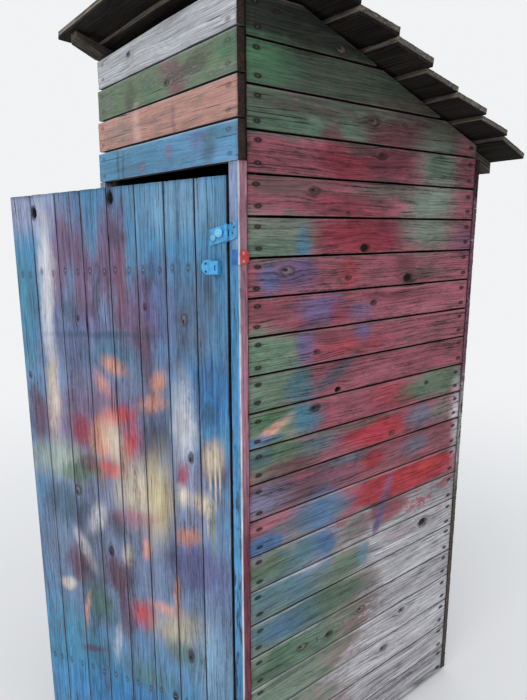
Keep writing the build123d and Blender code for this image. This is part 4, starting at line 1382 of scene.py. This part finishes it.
def worn_corners(item, radius, material):
    """Round the sharp edges of a piece kept from the frame, and give it a material."""
    weld = item.modifiers.new("weld", "WELD")
    weld.merge_threshold = WELD_DISTANCE
    bevel = item.modifiers.new("bevel", "BEVEL")
    bevel.width = radius
    bevel.segments = 2
    bevel.limit_method = "ANGLE"
    bevel.angle_limit = SHARP
    item.data.materials.clear()
    item.data.materials.append(material)


rafter_wood = sawn_wood("rafter_wood", DOWN_SLOPE, srgb(98, 90, 80), srgb(50, 45, 41))
for side in ("left", "right"):
    worn_corners(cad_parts[f"{side}_rafter"], ARRIS, rafter_wood)

# Roof boards, on axes of their own and of uneven lengths
ROOF_SHORT = (0.009, 0.004, 0.012, 0.006, 0.0, 0.010, 0.0, 0.008, 0.013)
ROOF_WEAR = 0.0012
RAFTER_ACROSS = 0.3615
ROOF_NAIL_EDGE = 0.03
planks = []
for row, shortened in enumerate(ROOF_SHORT, 1):
    node = f"roof_board_{row}"
    corners = solids(node)[0]
    _, _, axes = np.linalg.svd(corners - corners.mean(0))
    plank = Plank(node, corners, axes[0] * np.sign(axes[0][0]), axes[2] * np.sign(axes[2][2]))
    plank.shortened = shortened
    plank.wear = ROOF_WEAR
    plank.random_marks(cracks=2.0)
    for x in (-RAFTER_ACROSS, RAFTER_ACROSS):
        plank.nails.append((x, plank.low + plank.width - ROOF_NAIL_EDGE))
    joined(f"roof_{row}", [plank], [roof_wood], "building", "roof_wood", [node], X)
    planks.append(plank)
nail_heads("roof_nails", planks, nail_metal, "building")

# Door: places on it are measured from the hinge
DOOR_FINISH = {"bare": WASHED, "paint": SKY, "cover": 0.8, "stepped": 0.01, "ragged": 0.02,
               "joint_shade": 0.3, "rusty": 0.45, "contrast": 0.75}
HINGE_ACROSS = float(HINGE @ DOOR_FREE)
DOOR_WIDTH = 0.722
DOOR_STRETCHES = 6
NAIL_ROWS = (1.643, 0.330)
NAIL_SLOPE = 0.035
planks = [Plank(f"door_{i}", corners, Z, DOOR_OUT) for i, corners in enumerate(solids("door_boards"))]
add_knots(planks, DOOR_FREE, DOOR_KNOTS, HINGE_ACROSS)
add_cracks(planks, DOOR_CRACKS, HINGE_ACROSS)
door_woods = stretch_woods("door_boards", ACROSS, DOOR_WIDTH, DOOR_STRETCHES, DOOR_CLOUDS, **DOOR_FINISH)
materials = []
for plank in planks:
    share = (plank.low + plank.width / 2 - HINGE_ACROSS) / DOOR_WIDTH
    materials.append(pick(door_woods, share))
    for height in NAIL_ROWS:
        plank.nail_pair(height - NAIL_SLOPE * share)
    plank.random_marks(knots=0.4, cracks=0.8)
joined(
    "door", planks, materials, "door", "door_paint", ["door_boards"], DOOR_FREE, HINGE_ACROSS, spacing=0.015
)
nail_heads("door_nails", planks, pale_nail, "door")
for node in ("door_upper_ledge", "door_lower_ledge"):
    bare_timber(node, DOOR_FREE, -DOOR_OUT, "door")

# Hardware: the frame's own metal with softened edges, and turned or slotted heads on it
for node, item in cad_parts.items():
    if not item.hide_render and "rafter" not in node:
        worn_corners(item, METAL_ARRIS, strap_metal if node == "corner_strap" else blue_metal)

HEAD_SIDES = 32
SLOT_HALF = 0.0005          # half the width of a screwdriver slot, and its depth
SLOT_DEEP = 0.0008
AXIS_OUT = 0.006            # the hinge's pin stands this far out from the door and the strip
LEAF = 0.002
FRONT = -0.497              # face of the jamb strip
STRAP_SIDE = 0.410          # side of the jamb strip, under the strap, and the screws' place on it
STRAP_MIDDLE = -0.485


def turned_head(name, centre, out, profile, material, body, slot_turn=None):
    """A round head by its profile of radii and rises, with a screwdriver slot if a turn is given."""
    side = np.cross(out, Z)
    side = side / np.linalg.norm(side)
    up = np.cross(side, out)
    points = []
    for radius, rise in profile:
        for step in range(HEAD_SIDES):
            turn = 2 * math.pi * step / HEAD_SIDES
            a = radius * math.cos(turn)
            b = radius * math.sin(turn)
            sunk = 0.0
            if slot_turn is not None and rise > 0:
                off = abs(a * math.sin(slot_turn) - b * math.cos(slot_turn))
                sunk = SLOT_DEEP if off < SLOT_HALF else 0.0
            points.append(centre + a * side + b * up + (rise - sunk) * out)
    top = len(points) - HEAD_SIDES
    faces = band_faces(0, len(profile), HEAD_SIDES) + [[top + step for step in range(HEAD_SIDES)]]
    made = mesh_object(name, points, faces)
    made.data.materials.append(material)
    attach(made, body)


def on_door(across, height, out):
    return HINGE - AXIS_OUT * DOOR_OUT + across * DOOR_FREE + height * Z + out * DOOR_OUT


def screw_profile(radius):
    """A low dome, wide rings first, fine enough for its slot."""
    rings = [(radius, -0.0003), (radius, 0.0002)]
    for share in (0.92, 0.8, 0.68, 0.56, 0.44, 0.32, 0.2, 0.1):
        rings.append((radius * share, 0.0002 + 0.0009 * math.sqrt(1 - share**2)))
    return rings


# Bolt and nut on each hinge's moving leaf: place from the hinge, face and rings
HINGE_RISES = (("upper", 0.0), ("lower", -1.528))
BOLT_RINGS = (
    (0.0105, 0.0), (0.0103, 0.0008), (0.0090, 0.0012), (0.0084, 0.0004), (0.0062, 0.0004),
    (0.0056, 0.0013), (0.0044, 0.0015), (0.0038, 0.0006), (0.0012, 0.0006),
)
NUT_RINGS = (
    (0.0072, 0.0), (0.0070, 0.0007), (0.0058, 0.0009), (0.0052, 0.0002), (0.0036, 0.0002),
    (0.0030, 0.0009), (0.0010, 0.0010),
)
FASTENERS = (
    ("bolt", (0.022, 1.7278), LEAF + 0.005, BOLT_RINGS),
    ("nut", (0.038, 1.7158), LEAF + 0.004, NUT_RINGS),
)
STRIP_SCREWS = ((0.385, 1.7500), (0.392, 1.7420), (0.386, 1.7280))
LATCH_SCREWS = ((0.063, 1.652), (0.063, 1.632))
STRAP_SCREWS = (1.680, 1.660)
for name, rise in HINGE_RISES:
    for kind, (across, height), face, rings in FASTENERS:
        spot = on_door(across, height + rise, face)
        turned_head(f"{name}_{kind}_rings", spot, DOOR_OUT, rings, worn_highlit_blue_metal, "door")
    for i, (across, height) in enumerate(STRIP_SCREWS):
        spot = np.array((across, FRONT - LEAF, height + rise))
        profile = screw_profile(0.0032)
        turned_head(f"{name}_strip_screw_{i}", spot, -Y, profile, dark_screw, "building", 0.6 * i)
for i, (across, height) in enumerate(LATCH_SCREWS):
    spot = on_door(across, height, LEAF)
    turned_head(f"latch_screw_{i}", spot, DOOR_OUT, screw_profile(0.0036), dark_screw, "door", 0.4 + i)
for i, height in enumerate(STRAP_SCREWS):
    spot = np.array((STRAP_SIDE + LEAF, STRAP_MIDDLE, height))
    turned_head(f"strap_screw_{i}", spot, X, screw_profile(0.0040), pale_screw, "building", 0.3 + i)

# Camera, from the photograph's fitted view
FOCAL_PIXELS = 575.7
IMAGE_LONG_SIDE = 700
SENSOR = 36.0
CLIP_START = 0.05
CAMERA_PLACE = (1.5555, -1.3117, 1.7337)
CAMERA_HEADING = math.radians(52.204)
CAMERA_PITCH = math.radians(11.736)
CAMERA_ROLL = math.radians(-0.138)
camera_data = bpy.data.cameras.new("camera")
camera_data.sensor_width = SENSOR
camera_data.lens = FOCAL_PIXELS / IMAGE_LONG_SIDE * SENSOR
camera_data.clip_start = CLIP_START
camera = bpy.data.objects.new("camera", camera_data)
bpy.context.scene.collection.objects.link(camera)
camera.matrix_world = (
    Matrix.Translation(CAMERA_PLACE)
    @ Matrix.Rotation(CAMERA_HEADING, 4, "Z")
    @ Matrix.Rotation(math.pi / 2 - CAMERA_PITCH, 4, "X")
    @ Matrix.Rotation(CAMERA_ROLL, 4, "Z")
)
bpy.context.scene.camera = camera

# Light: an even sky, a wide soft lamp, and a backdrop that only camera and mirror rays see
BACKDROP = (0.88, 0.89, 0.90, 1.0)


def seen_directly(g):
    """One for camera, glossy and transmission rays, nothing for the rays that carry light."""
    paths = g.nodes.new("ShaderNodeLightPath")
    seen = g.math("MAXIMUM", paths.outputs["Is Camera Ray"], paths.outputs["Is Glossy Ray"])
    return g.math("MAXIMUM", seen, paths.outputs["Is Transmission Ray"])


class WorldGraph(Graph):
    """The same expressions for the world's nodes."""

    def __init__(self, world):
        self.take(world)


SKY_COLOUR = (0.93, 0.96, 1.0, 1.0)
SKY_STRENGTH = 0.85
LAMP_STRENGTH = 0.9
LAMP_SPREAD = math.radians(50)
LAMP_TOWARDS = Vector((-0.35, 0.75, -0.85))
world = bpy.data.worlds.new("studio")
bpy.context.scene.world = world
g = WorldGraph(world)
even_sky = g.add("ShaderNodeBackground", {"Color": SKY_COLOUR, "Strength": SKY_STRENGTH})
backdrop = g.add("ShaderNodeBackground", {"Color": BACKDROP, "Strength": 1.0})
shown = g.add("ShaderNodeMixShader", {0: seen_directly(g), 1: even_sky, 2: backdrop})
g.add("ShaderNodeOutputWorld", {"Surface": shown})

lamp_data = bpy.data.lights.new("soft_lamp", "SUN")
lamp_data.energy = LAMP_STRENGTH
lamp_data.angle = LAMP_SPREAD
lamp = bpy.data.objects.new("soft_lamp", lamp_data)
bpy.context.scene.collection.objects.link(lamp)
lamp.rotation_euler = LAMP_TOWARDS.to_track_quat("-Z", "Y").to_euler()

# Floor, fading into the backdrop for the eye alone
FLOOR_REACH = 30.0
FLOOR_DROP = 0.001
FADE_START = 1.6
FADE_END = 5.0
FLOOR_COLOUR = (0.80, 0.80, 0.80, 1.0)
g = Graph("studio_floor")
distance = g.vector("LENGTH", g.place(), out=1)
faded = g.math("MULTIPLY", g.ramp(distance, FADE_START, FADE_END), seen_directly(g))
matt = g.add("ShaderNodeBsdfDiffuse", {"Color": FLOOR_COLOUR})
glow = g.add("ShaderNodeEmission", {"Color": BACKDROP})
g.add("ShaderNodeOutputMaterial", {"Surface": g.add("ShaderNodeMixShader", {0: faded, 1: matt, 2: glow})})
corners = [(x * FLOOR_REACH, y * FLOOR_REACH, -FLOOR_DROP) for x, y in ((-1, -1), (1, -1), (1, 1), (-1, 1))]
floor = mesh_object("studio_floor", corners, [(0, 1, 2, 3)])
floor.data.materials.append(g.material)

bpy.context.scene.view_settings.view_transform = "Standard"
